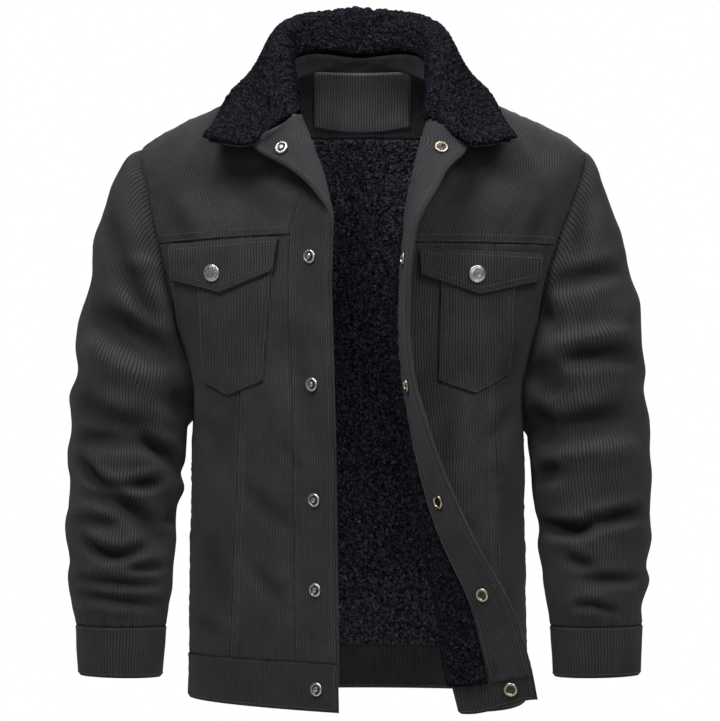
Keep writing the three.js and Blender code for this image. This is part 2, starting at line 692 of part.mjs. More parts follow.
const SLEEVE_STOPS = [0.5, 1.2, 2, 3, 4, 5, 6, 7, 8, 9, 9.7, 10.4, 11, 11.6, 12.3, 13, 13.7, 14.4,
  15.2, 16, 17];
for (const side of ['right', 'left']) {
  const sign = side === 'right' ? -1 : 1;
  const ring = armholeRing(side);
  const surface = (u) => {
    const row = [];
    for (let j = 0; j < SLEEVE_SIDES; j += 1) {
      const angle = 2 * Math.PI * j / SLEEVE_SIDES;
      const p = sleevePoint(side, u, angle);
      const blend = u < 4 ? 1 - ease(u / 4) : 0;
      p.addScaledVector(ring[j].p.clone().sub(sleevePoint(side, 0, angle)), blend);
      row.push(p);
    }
    return row;
  };
  const fold = (grid, stops) => grid.map((row, i) => row.map(({ p, n }) => {
    const calm = ease(Math.min(stops[i] / 2, 1)) * ease(Math.min((SLEEVE_END - stops[i]) / 1.5, 1));
    const facing = Math.max(-n.y, 0) ** 0.5;
    const depth = foldDepth(FOLDS[side], p.x, p.z) * calm * facing;
    return { p: p.clone().addScaledVector(n, -depth), n };
  }));
  const stops = [0, ...SLEEVE_STOPS, SLEEVE_END - 0.012];
  const grid = fold(withNormals(stops.map(surface), -sign, true), stops);
  for (let j = 0; j < SLEEVE_SIDES; j += 1) {
    const angle = 2 * Math.PI * j / SLEEVE_SIDES;
    const under = Math.max(-Math.cos(angle), 0) ** 2;
    grid[0][j] = { p: ring[j].p,
      n: ring[j].n.clone().multiplyScalar(1 - under).addScaledVector(grid[0][j].n, under).normalize() };
  }
  add(`sleeve_${side}`, wall(grid, 0, -CLOTH, true), CORDUROY);
  const cuffStops = [SLEEVE_END + 0.012, 18.3, 19, CUFF_END];
  add(`cuff_${side}`, wall(withNormals(cuffStops.map(surface), -sign, true), 0.8,
    0.8 - DOUBLE_CLOTH, true), CORDUROY);
}

// Snap fasteners: a short round button on a surface, its axis along the direction out of it.
function snap(name, { p, n }, radius, height, seatAt) {
  const profile = [[0, 0], [radius, 0], [radius, height * 0.6], [radius * 0.8, height], [0, height]];
  const geometry = new THREE.LatheGeometry(profile.map(([x, y]) => new THREE.Vector2(x, y)), 12);
  const button = add(name, geometry, NICKEL);
  button.quaternion.setFromUnitVectors(new THREE.Vector3(0, 1, 0), n);
  button.position.copy(p).addScaledVector(n, seatAt);
}

// Level where a front's placket has this height at its middle.
function placketPlace(part, z) {
  let low = 0;
  let high = NECK;
  const distance = (t) => clothLine(part, t).total - PLACKET_WIDTH / 2;
  for (let i = 0; i < 30; i += 1) {
    const middle = (low + high) / 2;
    if (along(part, middle, distance(middle)).z < z) low = middle; else high = middle;
  }
  return place(part, (low + high) / 2, 0, distance((low + high) / 2));
}
const outward = ({ p, n }, distance) => ({ p: p.clone().addScaledVector(n, distance), n });
const inward = ({ p, n }, distance) => ({ p: p.clone().addScaledVector(n, -distance),
  n: n.clone().negate() });

const SNAP_HEIGHTS = { right: [-60, -172, -306, -427, -521, -625],
  left: [-60, -175, -306, -427, -523, -623] };
SNAP_HEIGHTS.right.forEach((z, i) => {
  const spot = placketPlace('frontRight', z);
  const turned = i === 0;
  const skin = FACING_GAP + 2 * CLOTH;
  snap(`stud_right_${i + 1}`, turned ? inward(spot, skin) : outward(spot, 0), SNAP_RADIUS, 2.6,
    turned ? 1.2 : 0.6);
});
SNAP_HEIGHTS.left.forEach((z, i) => {
  const spot = placketPlace('frontLeft', z);
  const skin = i === 5 ? DOUBLE_CLOTH : FACING_GAP + 2 * CLOTH;
  snap(`socket_left_${i + 1}`, inward(spot, skin), SNAP_RADIUS, 2.4, i === 1 ? 0.5 : 0.8);
  snap(`snap_cap_left_${i + 1}`, outward(spot, 0), SNAP_RADIUS, 2.6, 1.0);
});
snap('flap_cap_right', seat('frontRight', -154.5, -188), FLAP_CAP_RADIUS, 3, 6.4);
snap('flap_cap_left', seat('frontLeft', 122.5, -189), FLAP_CAP_RADIUS, 3, 6.4);

export default jacket;
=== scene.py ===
# Sherpa lined corduroy trucker jacket, worn open, seen from the front.
import math
import bpy
import numpy as np
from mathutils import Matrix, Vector


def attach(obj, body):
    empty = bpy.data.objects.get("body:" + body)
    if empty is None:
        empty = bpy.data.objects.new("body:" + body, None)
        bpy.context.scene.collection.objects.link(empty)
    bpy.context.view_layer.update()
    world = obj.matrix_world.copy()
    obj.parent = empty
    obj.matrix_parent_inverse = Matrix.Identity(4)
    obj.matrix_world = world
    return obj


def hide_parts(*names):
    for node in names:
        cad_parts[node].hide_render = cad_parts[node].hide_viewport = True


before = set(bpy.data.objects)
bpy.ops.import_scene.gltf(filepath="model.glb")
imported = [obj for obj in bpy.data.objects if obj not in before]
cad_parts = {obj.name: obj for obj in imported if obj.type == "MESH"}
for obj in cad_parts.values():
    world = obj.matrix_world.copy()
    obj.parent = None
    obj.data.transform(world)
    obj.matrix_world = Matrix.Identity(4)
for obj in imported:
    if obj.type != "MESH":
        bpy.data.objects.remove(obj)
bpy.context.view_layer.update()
CARRIER = "root"
MM = 0.001

# Camera, studio and floor
# A long lens 4 m in front, level with the middle of the jacket, as in a catalogue photograph.
# Soft boxes light it from the front and both sides, over a pale floor and a white surround.
bpy.ops.object.select_all(action="DESELECT")
camera_data = bpy.data.cameras.new("catalogue_camera")
camera_data.sensor_fit = "AUTO"
camera_data.sensor_width = 36.0
camera_data.lens = 184.9
camera = bpy.data.objects.new("catalogue_camera", camera_data)
camera.location = (0.0, -4.0, -0.281)
camera.rotation_euler = (math.radians(90), 0.0, 0.0)
bpy.context.scene.collection.objects.link(camera)
bpy.context.scene.camera = camera
bpy.context.scene.view_settings.view_transform = "Standard"
bpy.context.scene.view_settings.look = "None"


def to_linear(hex_colour):
    """sRGB hex to the linear colour that the shaders take."""
    values = [int(hex_colour[i:i + 2], 16) / 255 for i in (1, 3, 5)]
    return tuple(v / 12.92 if v <= 0.04045 else ((v + 0.055) / 1.055) ** 2.4 for v in values) + (1.0,)


def node(tree, kind, sockets=None, **settings):
    """Add one node with its settings. A socket takes a plain value, or the output that feeds it."""
    new = tree.nodes.new(kind)
    for key, value in settings.items():
        setattr(new, key, value)
    for key, value in (sockets or {}).items():
        if isinstance(value, bpy.types.NodeSocket):
            tree.links.new(value, new.inputs[key])
        else:
            new.inputs[key].default_value = value
    return new


def new_material(name, roughness):
    """A named material, with its node tree and its shader."""
    made = bpy.data.materials.new(name)
    made.use_nodes = True
    shader = made.node_tree.nodes["Principled BSDF"]
    shader.inputs["Roughness"].default_value = roughness
    return made, made.node_tree, shader


world = bpy.data.worlds.new("white_surround")
world.use_nodes = True
sky = world.node_tree.nodes["Background"]
sky.inputs["Color"].default_value = (1.0, 1.0, 1.0, 1.0)
seen = node(world.node_tree, "ShaderNodeLightPath")
glow = node(world.node_tree, "ShaderNodeMapRange", {0: seen.outputs["Is Camera Ray"], 3: 0.17, 4: 1.0})
world.node_tree.links.new(glow.outputs[0], sky.inputs["Strength"])
bpy.context.scene.world = world


def soft_box(name, place, aim, size, power):
    data = bpy.data.lights.new(name, "AREA")
    data.shape = "SQUARE"
    data.size = size
    data.energy = power
    lamp = bpy.data.objects.new(name, data)
    lamp.location = place
    lamp.rotation_euler = (Vector(aim) - Vector(place)).to_track_quat("-Z", "Y").to_euler()
    bpy.context.scene.collection.objects.link(lamp)


soft_box("key_box", (-0.75, -1.1, 1.35), (0, 0, -0.05), 0.7, 38)
soft_box("fill_box", (0.95, -1.1, 1.25), (0, 0, -0.05), 0.8, 27)
soft_box("camera_box", (0.1, -3.2, 0.4), (0, 0, -0.1), 1.0, 11)
soft_box("top_box", (0.0, -0.2, 2.0), (0, 0, -0.2), 0.7, 20)
soft_box("back_box", (0.5, 2.4, 1.5), (0, 0, -0.2), 1.1, 36)

paper, _, shader = new_material("matte_studio_paper", 0.9)
shader.inputs["Base Color"].default_value = to_linear("#f4f4f3")
bpy.ops.mesh.primitive_plane_add(size=6.0, location=(0, 0, -1.45))
floor = bpy.context.object
floor.name = "studio_floor"
floor.data.materials.append(paper)

# Cloth of the body
# Charcoal cotton corduroy, cut pile in upright ribs 3.1 mm apart, in panels joined by fell seams.
# The panels share one worn form, so their edges meet at the seams with a small gap.
# Sizes are in millimetres: thicknesses of cloth and pile, gaps between layers and at seams.
CLOTH, DOUBLE_CLOTH = 2.2, 4.0
PILE, COLLAR_PILE = 6.2, 9.0
LAYER_GAP, FACING_GAP = 0.8, 1.4
SEAM, INNER_SEAM = 0.25, 0.9
ROW_SEAM = 0.003
PLACKET_WIDTH = 52
WALE = 3.1


def table(columns, rows):
    return {column: np.array([row[i] for row in rows], float) for i, column in enumerate(columns)}


LEVELS = table(
    ["zBack", "zSide", "zFront", "tilt", "halfRight", "halfLeft", "back"], [
        [-645, -643, -650, 1, 186, 181, 122],
        [-596, -595, -599, 1, 185, 180, 121],
        [-530, -530, -531, 0, 184, 179, 117],
        [-460, -460, -460, 0, 183, 178, 113],
        [-380, -380, -380, 0, 182, 177.5, 117],
        [-300, -300, -300, 0, 183, 178, 125],
        [-229, -229, -229, 0, 209, 201, 130],
        [-150, -158.5, -152, 4, 235, 224, 131],
        [-92, -102, -117, 2, 243, 240, 127],
        [-40, -52, -84, 0, 235, 238, 115],
        [12, -9, -48, 0, 157, 157, 92],
        [50, 25, -22, 0, 77, 74, 61]])
EDGE_COLUMNS = ["x", "y", "heading", "roll", "open", "flap", "drop"]
EDGES = {
    "Right": table(EDGE_COLUMNS, [
        [-23, -140, 34, 9, 0, 0, 0],
        [-24, -140, 35, 9, 0, 0, 0],
        [-25, -141, 36, 9, 0, 0, 0],
        [-26, -142, 36, 9, 0, 0, 0],
        [-27, -143, 36, 9, 0, 0, 0],
        [-29, -143, 36, 9, 0, 0, 0],
        [-31, -142, 36, 9, 0, 0, 0],
        [-34, -138, 38, 9, 20, 1, 0],
        [-39, -124, 42, 9, 90, 5, 0],
        [-46, -104, 50, 10, 135, 15, 0],
        [-58, -82, 58, 10, 140, 45, -6],
        [-68, -62, 72, 10, 60, 2, -1]]),
    "Left": table(EDGE_COLUMNS, [
        [115, -108, 3, 8, 164, 74, 17],
        [103, -110, 3, 8, 160, 79, 9],
        [94, -108, 4, 9, 148, 75, 0],
        [78, -103, 5, 9, 132, 62, 0],
        [67, -97, 6, 9, 111, 52, 0],
        [56, -93, 7, 9, 95, 52, 0],
        [52, -92, 7, 8, 92, 51, 0],
        [55, -95, 8, 7, 92, 50, 0],
        [59, -97, 14, 7, 100, 42, 0],
        [64, -93, 28, 7, 125, 31, 0],
        [71, -78, 50, 7, 140, 36, -5],
        [78, -60, 72, 7, 60, 2, -1]])}
FULLNESS = {"Right": (0.3, 0.47), "Left": (0.38, 0.5)}
HEM, BAND_SEAM, YOKE, TIP, NECK = 0, 1, 7, 9, 11
UNDERARM_Z, TIP_Z = -265, -52
ARMHOLE_REACH = 50
NECK_FACING_LEVEL = 9.12


def pick(rows, column, t):
    """Smooth value of one column at a level between rows."""
    values = rows[column]
    last = len(values) - 1
    i = min(max(int(math.floor(t)), 0), last - 1)
    u = t - i
    b, c = values[i], values[i + 1]
    a = values[i - 1] if i > 0 else 2 * b - c
    d = values[i + 2] if i + 2 <= last else 2 * c - b
    m, n = (c - a) / 2, (d - b) / 2
    return ((2 * u ** 3 - 3 * u ** 2 + 1) * b + (u ** 3 - 2 * u ** 2 + u) * m
            + (3 * u ** 2 - 2 * u ** 3) * c + (u ** 3 - u ** 2) * n)


def ease(u):
    """A soft step from 0 at u = 0 to 1 at u = 1."""
    u = np.clip(u, 0, 1)
    return u * u * (3 - 2 * u)


def bell(distance, width):
    """1 at no distance, and close to 0 at twice the width."""
    return np.exp(-(distance / width) ** 2)


MAIN_STEPS = 160


def cloth_line(part, t):
    """One level's line from the side seam to the front edge or the middle of the back."""
    side = "Right" if part.endswith("Right") else "Left"
    sign = -1 if side == "Right" else 1
    half = sign * pick(LEVELS, "half" + side, t)
    z_side = pick(LEVELS, "zSide", t)
    u = np.linspace(0, 1, MAIN_STEPS + 1)[:, None]
    v = 1 - u
    if part.startswith("back"):
        back = pick(LEVELS, "back", t)
        z_end = pick(LEVELS, "zBack", t)
        knots = np.array([[half, 0], [half, 0.56 * back], [0.56 * half, back], [0, back]])
    else:
        edge = EDGES[side]
        full_side, full_edge = FULLNESS[side]
        z_end = pick(LEVELS, "zFront", t) + pick(LEVELS, "tilt", t) * (1 if side == "Right" else -1)
        end = np.array([pick(edge, "x", t), pick(edge, "y", t)])
        chord = math.hypot(end[0] - half, end[1])
        heading = math.radians(pick(edge, "heading", t))
        ahead = np.array([-sign * math.cos(heading), -math.sin(heading)])
        knots = np.array([[half, 0], [half, -full_side * chord], end - ahead * full_edge * chord, end])
    xy = v ** 3 * knots[0] + 3 * v * v * u * knots[1] + 3 * v * u * u * knots[2] + u ** 3 * knots[3]
    z = z_side + (z_end - z_side) * ease(u)
    points = np.hstack([xy, z])
    if not part.startswith("back"):
        opened = max(math.radians(pick(edge, "open", t)), 0)
        flap = max(pick(edge, "flap", t), 0)
        drop = pick(edge, "drop", t)
        if opened > 0.01 and flap > 0.2:
            radius = pick(edge, "roll", t)
            steps = 64
            angle = opened * (np.arange(steps) + 0.5) / steps
            dx = ahead[0] * np.cos(angle) - sign * ahead[1] * np.sin(angle)
            dy = ahead[1] * np.cos(angle) + sign * ahead[0] * np.sin(angle)
            turn = end + np.cumsum(np.stack([dx, dy], 1) * radius * opened / steps, 0)
            points = np.vstack([points, np.hstack([turn, np.full((steps, 1), z_end)])])
            last = np.array([ahead[0] * math.cos(opened) - sign * ahead[1] * math.sin(opened),
                             ahead[1] * math.cos(opened) + sign * ahead[0] * math.sin(opened)])
            w = np.linspace(0, 1, 41)[1:, None]
            points = np.vstack([points, np.hstack([turn[-1] + last * flap * w,
                                                   z_end + drop * ease(w)])])
    lengths = np.concatenate([[0], np.cumsum(np.linalg.norm(np.diff(points, axis=0), axis=1))])
    return points, lengths


LINES = {}


def line_at(part, t):
    key = (part, round(t, 6))
    if key not in LINES:
        LINES[key] = cloth_line(part, t)
    return LINES[key]


def total(part, t):
    return line_at(part, t)[1][-1]


def spots(part, t, distances):
    points, lengths = line_at(part, t)
    return np.stack([np.interp(distances, lengths, points[:, k]) for k in range(3)], -1)


def reach(t):
    """How wide the armhole is at a level, from 0 to 1."""
    z = pick(LEVELS, "zSide", t)
    middle, half = (UNDERARM_Z + TIP_Z) / 2, (TIP_Z - UNDERARM_Z) / 2
    if t >= TIP:
        return 0.0
    return math.sqrt(max(1 - ((z - middle) / half) ** 2, 0))


def arm(part, t):
    """Distance of the armhole's edge from the side seam, 0 where there is no armhole."""
    return ARMHOLE_REACH * reach(t)


def strip(part, t):
    """Distance of the placket's seam from the side seam."""
    return total(part, t) - PLACKET_WIDTH


def level_at_side(z):
    low, high = 0.0, float(TIP)
    for _ in range(50):
        middle = (low + high) / 2
        if pick(LEVELS, "zSide", middle) < z:
            low = middle
        else:
            high = middle
    return (low + high) / 2


UNDERARM = level_at_side(UNDERARM_Z)


def rows_between(start, end, step=5.0):
    """Levels about a step apart in millimetres, closer at both ends and where the armhole ends."""
    def rate(t):
        if t > TIP:
            return 80.0
        low, high = max(t - 0.05, 0), t + 0.05
        return max(abs(pick(LEVELS, "zSide", high) - pick(LEVELS, "zSide", low)) / (high - low), 20)
    stops = [start + ROW_SEAM]
    marks = [m for m in (BAND_SEAM, UNDERARM, YOKE, TIP) if start < m < end] + [end - ROW_SEAM]
    for mark in marks:
        a = stops[-1]
        count = max(2, int(math.ceil((mark - a) * rate((a + mark) / 2) / step)))
        for k in range(1, count + 1):
            w = k / count
            if abs(a - UNDERARM) < 0.01:
                w = 1 - math.cos(w * math.pi / 2)
            elif abs(mark - TIP) < 0.01:
                w = math.sin(w * math.pi / 2)
            stops.append(a + (mark - a) * w)
    near = [mm / rate(start) + stops[0] for mm in (0.7, 1.6, 3.0)]
    near += [stops[-1] - mm / rate(end - 0.06) for mm in (3.0, 1.6, 0.7)]
    inside = [t for t in stops[1:-1] if near[2] + 0.01 < t < near[3] - 0.01]
    return [stops[0]] + near[:3] + inside + near[3:] + [stops[-1]]


def spread(a, b, count):
    """Distances from a to b, closer together near both ends."""
    scale = min(1.0, (b - a) / 16)
    ends = np.array([0, 0.7, 1.6, 3.0]) * scale
    return np.concatenate([a + ends[:3], np.linspace(a + ends[3], b - ends[3], count + 1), b - ends[2::-1]])


def princess(part, t):
    """Distance of the long seam from the side seam at a level."""
    top, bottom = {"frontRight": (-121, -138), "frontLeft": (143, 146)}[part]
    target = bottom + (top - bottom) * min(max((t - 1) / 6, 0), 1)
    points, lengths = line_at(part, t)
    least = arm(part, t) + 0.25 * (strip(part, t) - arm(part, t))
    xs = np.abs(points[:MAIN_STEPS + 1, 0])
    k = int(np.argmax(xs))
    found = float(np.interp(-abs(target), -xs[k:], lengths[k:MAIN_STEPS + 1]))
    return max(found, least)


def front_grid(part, rows, start, finish, count, gap=SEAM, free=False):
    """Places on a front, and the millimetre pattern of its wales, counted from the free edge."""
    grid, pattern = [], []
    for t in rows:
        d = spread(start(part, t) + gap, finish(part, t) - (0 if free else gap), count)
        grid.append(spots(part, t, d))
        pattern.append(np.stack([total(part, t) - d, grid[-1][:, 2]], -1))
    return np.array(grid), np.array(pattern)


def back_grid(rows, shares):
    """Places across the back, at shares of the way from its middle to each side, and their pattern."""
    grid, pattern = [], []
    for t in rows:
        line, across = [], []
        for part, sign in (("backRight", -1), ("backLeft", 1)):
            length = total(part, t)
            d = length - shares * (length - arm(part, t) - SEAM)
            d = d[::-1] if sign < 0 else d[1:]
            line.append(spots(part, t, d))
            across.append(sign * (length - d))
        grid.append(np.vstack(line))
        pattern.append(np.stack([np.concatenate(across), grid[-1][:, 2]], -1))
    return np.array(grid), np.array(pattern)


def outward(grid, sign, ring=False):
    """Directions out of a grid, from its neighbours."""
    if ring:
        across = np.roll(grid, -1, 1) - np.roll(grid, 1, 1)
    else:
        across = np.gradient(grid, axis=1)
    n = np.cross(across, np.gradient(grid, axis=0)) * sign
    return n / np.maximum(np.linalg.norm(n, axis=2, keepdims=True), 1e-9)


OUT = {"frontRight": 1, "frontLeft": -1, "back": -1}


def rims(grid):
    """Distance of every place from the first and last column and from the first and last row."""
    across = np.linalg.norm(np.diff(grid, axis=1), axis=2)
    across = np.hstack([np.zeros((len(grid), 1)), np.cumsum(across, 1)])
    up = np.linalg.norm(np.diff(grid, axis=0), axis=2)
    up = np.vstack([np.zeros((1, grid.shape[1])), np.cumsum(up, 0)])
    return across, across[:, -1:] - across, up, up[-1:] - up


def scatter(ix, iy, seed):
    value = np.sin(ix * 127.1 + iy * 311.7 + seed * 74.7) * 43758.5453
    return value - np.floor(value)


def ripple(x, y, seed=0):
    """Smooth unevenness of cloth, from -1 to 1, about one unit from crest to crest."""
    ix, iy = np.floor(x), np.floor(y)
    fx, fy = ease(x - ix), ease(y - iy)
    low = scatter(ix, iy, seed) * (1 - fx) + scatter(ix + 1, iy, seed) * fx
    high = scatter(ix, iy + 1, seed) * (1 - fx) + scatter(ix + 1, iy + 1, seed) * fx
    return 2 * (low * (1 - fy) + high * fy) - 1


def seam_relief(grid, sides, seed, pucker=1.5):
    """How far the cloth sinks at its sewn sides, with the small puckers that stitching leaves."""
    relief = np.zeros(grid.shape[:2])
    distances = rims(grid)
    for k, wanted in enumerate(sides):
        if not wanted:
            continue
        d = distances[k]
        run = distances[2] if k < 2 else distances[0]
        relief -= 0.95 * bell(d, 1.2) + 0.45 * bell(d - 8.6, 1.3)
        if wanted > 1:
            relief += 0.75 / (1 + np.exp((d - 9.6) * 1.6)) - 0.35 * bell(d - 2.1, 0.9)
        relief += pucker * np.exp(-d / 11) * (1 - np.exp(-d / 2)) * ripple(run / 5.8, d / 13 + 3, seed + k)
    return relief


# Soft creases of the worn body, each a curve through three points seen from the front.
# They run slantwise from the arms and the closed pockets, uneven in length and depth.
BODY_FOLDS = {
    "Right": [
        (-121, -414, -98, -436, -76, -452, 9, 2.4), (-113, -498, -97, -518, -78, -536, 8, 2.2),
        (-172, -556, -160, -566, -148, -577, 8, 2.0), (-84, -363, -74, -380, -60, -400, 6, 1.5),
        (-176, -344, -163, -352, -150, -366, 8, 1.8), (-166, -470, -152, -500, -146, -540, 11, 2.0),
        (-60, -560, -48, -572, -34, -580, 8, 1.4), (-150, -90, -120, -100, -92, -132, 14, 2.0),
        (-205, -110, -190, -140, -180, -170, 10, 2.2), (-70, -260, -60, -300, -52, -345, 9, 1.4)],
    "Left": [
        (168, -330, 152, -344, 138, -366, 8, 2.0), (150, -400, 160, -440, 156, -486, 10, 1.8),
        (165, -520, 150, -545, 138, -556, 9, 2.0), (98, -330, 92, -366, 90, -404, 9, 1.5),
        (205, -112, 190, -138, 180, -166, 10, 2.2), (140, -86, 110, -100, 92, -128, 14, 2.0),
        (88, -430, 104, -452, 118, -464, 8, 1.8), (172, -262, 158, -290, 150, -312, 9, 1.8)],
    "Back": [
        (-150, -300, -110, -330, -60, -346, 16, 2.6), (140, -320, 100, -344, 48, -356, 15, 2.4),
        (-165, -420, -120, -452, -88, -460, 13, 2.2), (160, -440, 128, -470, 80, -486, 14, 2.4),
        (-40, -540, 10, -552, 70, -548, 13, 1.8), (-190, -150, -170, -210, -150, -252, 13, 2.6),
        (188, -160, 168, -214, 156, -262, 13, 2.6), (-120, -560, -100, -575, -70, -584, 9, 1.6),
        (-60, -90, 0, -104, 66, -92, 18, 1.8)]}


def fold_depth(folds, x, z, deeper=1.0, ridge=1.0):
    """How far the folds sink a place. A ridge has its depth below zero."""
    depth = np.zeros(x.shape)
    u = np.linspace(0, 1, 41)
    for x1, z1, x2, z2, x3, z3, width, deep in folds:
        bend_x, bend_z = 2 * x2 - (x1 + x3) / 2, 2 * z2 - (z1 + z3) / 2
        px = (1 - u) ** 2 * x1 + 2 * (1 - u) * u * bend_x + u * u * x3
        pz = (1 - u) ** 2 * z1 + 2 * (1 - u) * u * bend_z + u * u * z3
        reach_far = 3.2 * width
        near = ((x > px.min() - reach_far) & (x < px.max() + reach_far)
                & (z > pz.min() - reach_far) & (z < pz.max() + reach_far))
        if not near.any():
            continue
        d2 = (x[near][:, None] - px) ** 2 + (z[near][:, None] - pz) ** 2
        k = np.argmin(d2, 1)
        d = np.sqrt(d2[np.arange(len(k)), k])
        taper = 0.2 + 0.8 * np.sin(math.pi * u[k]) ** 0.8
        lip = 0.22 * bell(d - 1.9 * width, width)
        scale = deeper if deep > 0 else ridge
        depth[near] += scale * deep * taper * (bell(d, width) - lip)
    return depth


def signed_volume(corners):
    """Six times the volume inside a skin of four-sided faces, below zero if they face inwards."""
    return (np.sum(corners[:, 0] * np.cross(corners[:, 1], corners[:, 2]))
            + np.sum(corners[:, 0] * np.cross(corners[:, 2], corners[:, 3])))


def wall(name, outer, inner, pattern, material, ring=False, tips=None, tone=None):
    """A closed wall of cloth between two faces that share one grid."""
    rows, columns = outer.shape[:2]
    vertices = np.concatenate([outer.reshape(-1, 3), inner.reshape(-1, 3)]) * MM
    index = np.arange(rows * columns).reshape(rows, columns)
    texture = np.concatenate([pattern.reshape(-1, 2)] * 2)
    if ring:
        index = np.hstack([index, index[:, :1]])
    a, b = index[:-1, :-1].ravel(), index[:-1, 1:].ravel()
    c, d = index[1:, 1:].ravel(), index[1:, :-1].ravel()
    shift = rows * columns
    faces = [np.stack([a, b, c, d], 1), np.stack([a, d, c, b], 1) + shift]
    rim = [(index[0], 1), (index[-1], -1), (index[:, 0], -1), (index[:, -1], 1)]
    for line, way in rim[:2 if ring else 4]:
        e, f = line[:-1], line[1:]
        corners = [e, e + shift, f + shift, f]
        faces.append(np.stack(corners if way > 0 else [e, f, f + shift, e + shift], 1))
    faces = np.concatenate(faces)
    if signed_volume(vertices[faces]) < 0:
        faces = np.ascontiguousarray(faces[:, ::-1])
    mesh = bpy.data.meshes.new(name)
    mesh.vertices.add(len(vertices))
    mesh.vertices.foreach_set("co", vertices.astype(np.float32).ravel())
    mesh.loops.add(faces.size)
    mesh.loops.foreach_set("vertex_index", faces.ravel().astype(np.int32))
    mesh.polygons.add(len(faces))
    mesh.polygons.foreach_set("loop_start", np.arange(0, faces.size, 4, dtype=np.int32))
    mesh.update(calc_edges=True)
    uv = texture[faces.ravel()]
    if ring:
        quads = uv.reshape(-1, 4, 2)
        period = pattern[0, -1, 0] + pattern[0, 1, 0] - pattern[0, 0, 0]
        wraps = (quads[:, :, 0].max(1) - quads[:, :, 0].min(1)) > period / 2
        low = quads[:, :, 0] < period / 2
        quads[:, :, 0] += period * (low & wraps[:, None])
    mesh.uv_layers.new(name="cloth_mm").data.foreach_set("uv", uv.astype(np.float32).ravel())
    mesh.polygons.foreach_set("use_smooth", np.ones(len(faces), bool))
    # The tone is painted into the colour as light and shade: the factor kept on each piece is below 1 where
    # it sinks and above 1 where it rises.
    shade = None if tone is None else np.clip(np.exp(0.13 * tone), 0.5, 1.25)
    for attribute, field in (("pile_tip", tips), ("painted_light_and_shade", shade)):
        if field is not None:
            layer = mesh.attributes.new(attribute, "FLOAT", "POINT")
            layer.data.foreach_set("value", np.concatenate([field.ravel()] * 2).astype(np.float32))
    mesh.validate()
    piece = bpy.data.objects.new(name, mesh)
    bpy.context.scene.collection.objects.link(piece)
    mesh.materials.append(material)
    return piece


def sheet(piece, replaced):
    """Hang a cloth piece on the carrier's node, and hide the part that it replaces."""
    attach(piece, CARRIER)
    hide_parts(replaced)


# Fine wale cotton corduroy, woven and cut, then dyed charcoal.
# Ribs of upright pile 3.1 mm apart catch the light, and the ground between them stays darker.
def maths(tree, operation, *values):
    """One sum on values or outputs."""
    return node(tree, "ShaderNodeMath", dict(enumerate(values)), operation=operation).outputs[0]


def remap(tree, *values):
    """Value, its low and high, and the low and high that they become."""
    return node(tree, "ShaderNodeMapRange", dict(enumerate(values))).outputs[0]


def blend(tree, factor, dark, light):
    """A mix of two colours."""
    colours = {0: factor, 6: to_linear(dark), 7: to_linear(light)}
    return node(tree, "ShaderNodeMix", colours, data_type="RGBA").outputs[2]


def object_noise(tree, scale, **settings):
    """Noise laid out by the piece's own places."""
    place = node(tree, "ShaderNodeTexCoord").outputs["Object"]
    return node(tree, "ShaderNodeTexNoise", {"Vector": place, "Scale": scale, **settings}).outputs[0]


def bumped(tree, shader, height, strength, distance):
    """Raise the surface by a height, in metres where it is 1."""
    bump = node(tree, "ShaderNodeBump", {"Strength": strength, "Distance": distance, "Height": height})
    tree.links.new(bump.outputs[0], shader.inputs["Normal"])


def recoloured(material, name, dark, light):
    """A copy of a material with two other colours."""
    copy = material.copy()
    copy.name = name
    for item in copy.node_tree.nodes:
        if item.bl_idname == "ShaderNodeMix":
            item.inputs[6].default_value = to_linear(dark)
            item.inputs[7].default_value = to_linear(light)
    return copy


def make_corduroy(name, rib, groove, strength):
    material, tree, shader = new_material(name, 0.92)
    uv = node(tree, "ShaderNodeUVMap", uv_map="cloth_mm").outputs[0]
    across = node(tree, "ShaderNodeSeparateXYZ", {0: uv}).outputs[0]
    wander = node(tree, "ShaderNodeTexNoise", {"Vector": uv, "Scale": 0.035, "Detail": 2.0},
                  noise_dimensions="2D").outputs[0]
    swayed = maths(tree, "ADD", across, maths(tree, "MULTIPLY", wander, 3.4))
    wave = maths(tree, "SINE", maths(tree, "MULTIPLY", swayed, math.pi / WALE))
    crown = maths(tree, "POWER", maths(tree, "ABSOLUTE", wave), 0.7)
    nap = object_noise(tree, 22.0, Detail=5.0, Roughness=0.62)
    fibre = object_noise(tree, 900.0, Detail=3.0, Roughness=0.7)
    uneven = maths(tree, "MULTIPLY", remap(tree, nap, 0.3, 0.7, 0.76, 1.24),
                   remap(tree, fibre, 0.25, 0.75, 0.78, 1.22))
    # Painted light and shade: the colour is scaled by the factor that each piece keeps, darker in its sunk
    # seams and folds and lighter where it rises. The nap and fibre noise is the cloth's own uneven tone.
    painted_shading = node(tree, "ShaderNodeAttribute", attribute_name="painted_light_and_shade").outputs["Fac"]
    wear_and_painted_shade = maths(tree, "MULTIPLY", uneven, painted_shading)
    # Painted light and shade: the colour is lighter on the ribs and darker in the ground between them.
    colour = blend(tree, crown, groove, rib)
    tint = node(tree, "ShaderNodeVectorMath", {0: colour, "Scale": wear_and_painted_shade}, operation="SCALE")
    tree.links.new(tint.outputs[0], shader.inputs["Base Color"])
    bumped(tree, shader, maths(tree, "MULTIPLY_ADD", fibre, 0.35, crown), strength, 0.0008)
    shader.inputs["IOR"].default_value = 1.45
    shader.inputs["Specular IOR Level"].default_value = 0.25
    shader.inputs["Sheen Weight"].default_value = 0.12
    shader.inputs["Sheen Roughness"].default_value = 0.5
    shader.inputs["Sheen Tint"].default_value = to_linear("#8f8f93")
    return material


CORDUROY = make_corduroy("charcoal_cotton_corduroy", "#2f2f31", "#0c0c0d", 0.7)


def cloth(name, grid, n, top, low, pattern, slot="corduroy", material=CORDUROY, ring=False, **fields):
    """A piece of cloth between two heights over its grid. Gives its outer and inner face."""
    outer, inner = [grid + n * np.asarray(height)[..., None] for height in (top, low)]
    sheet(wall(name, outer, inner, pattern, material, ring, **fields), name)
    return outer, inner


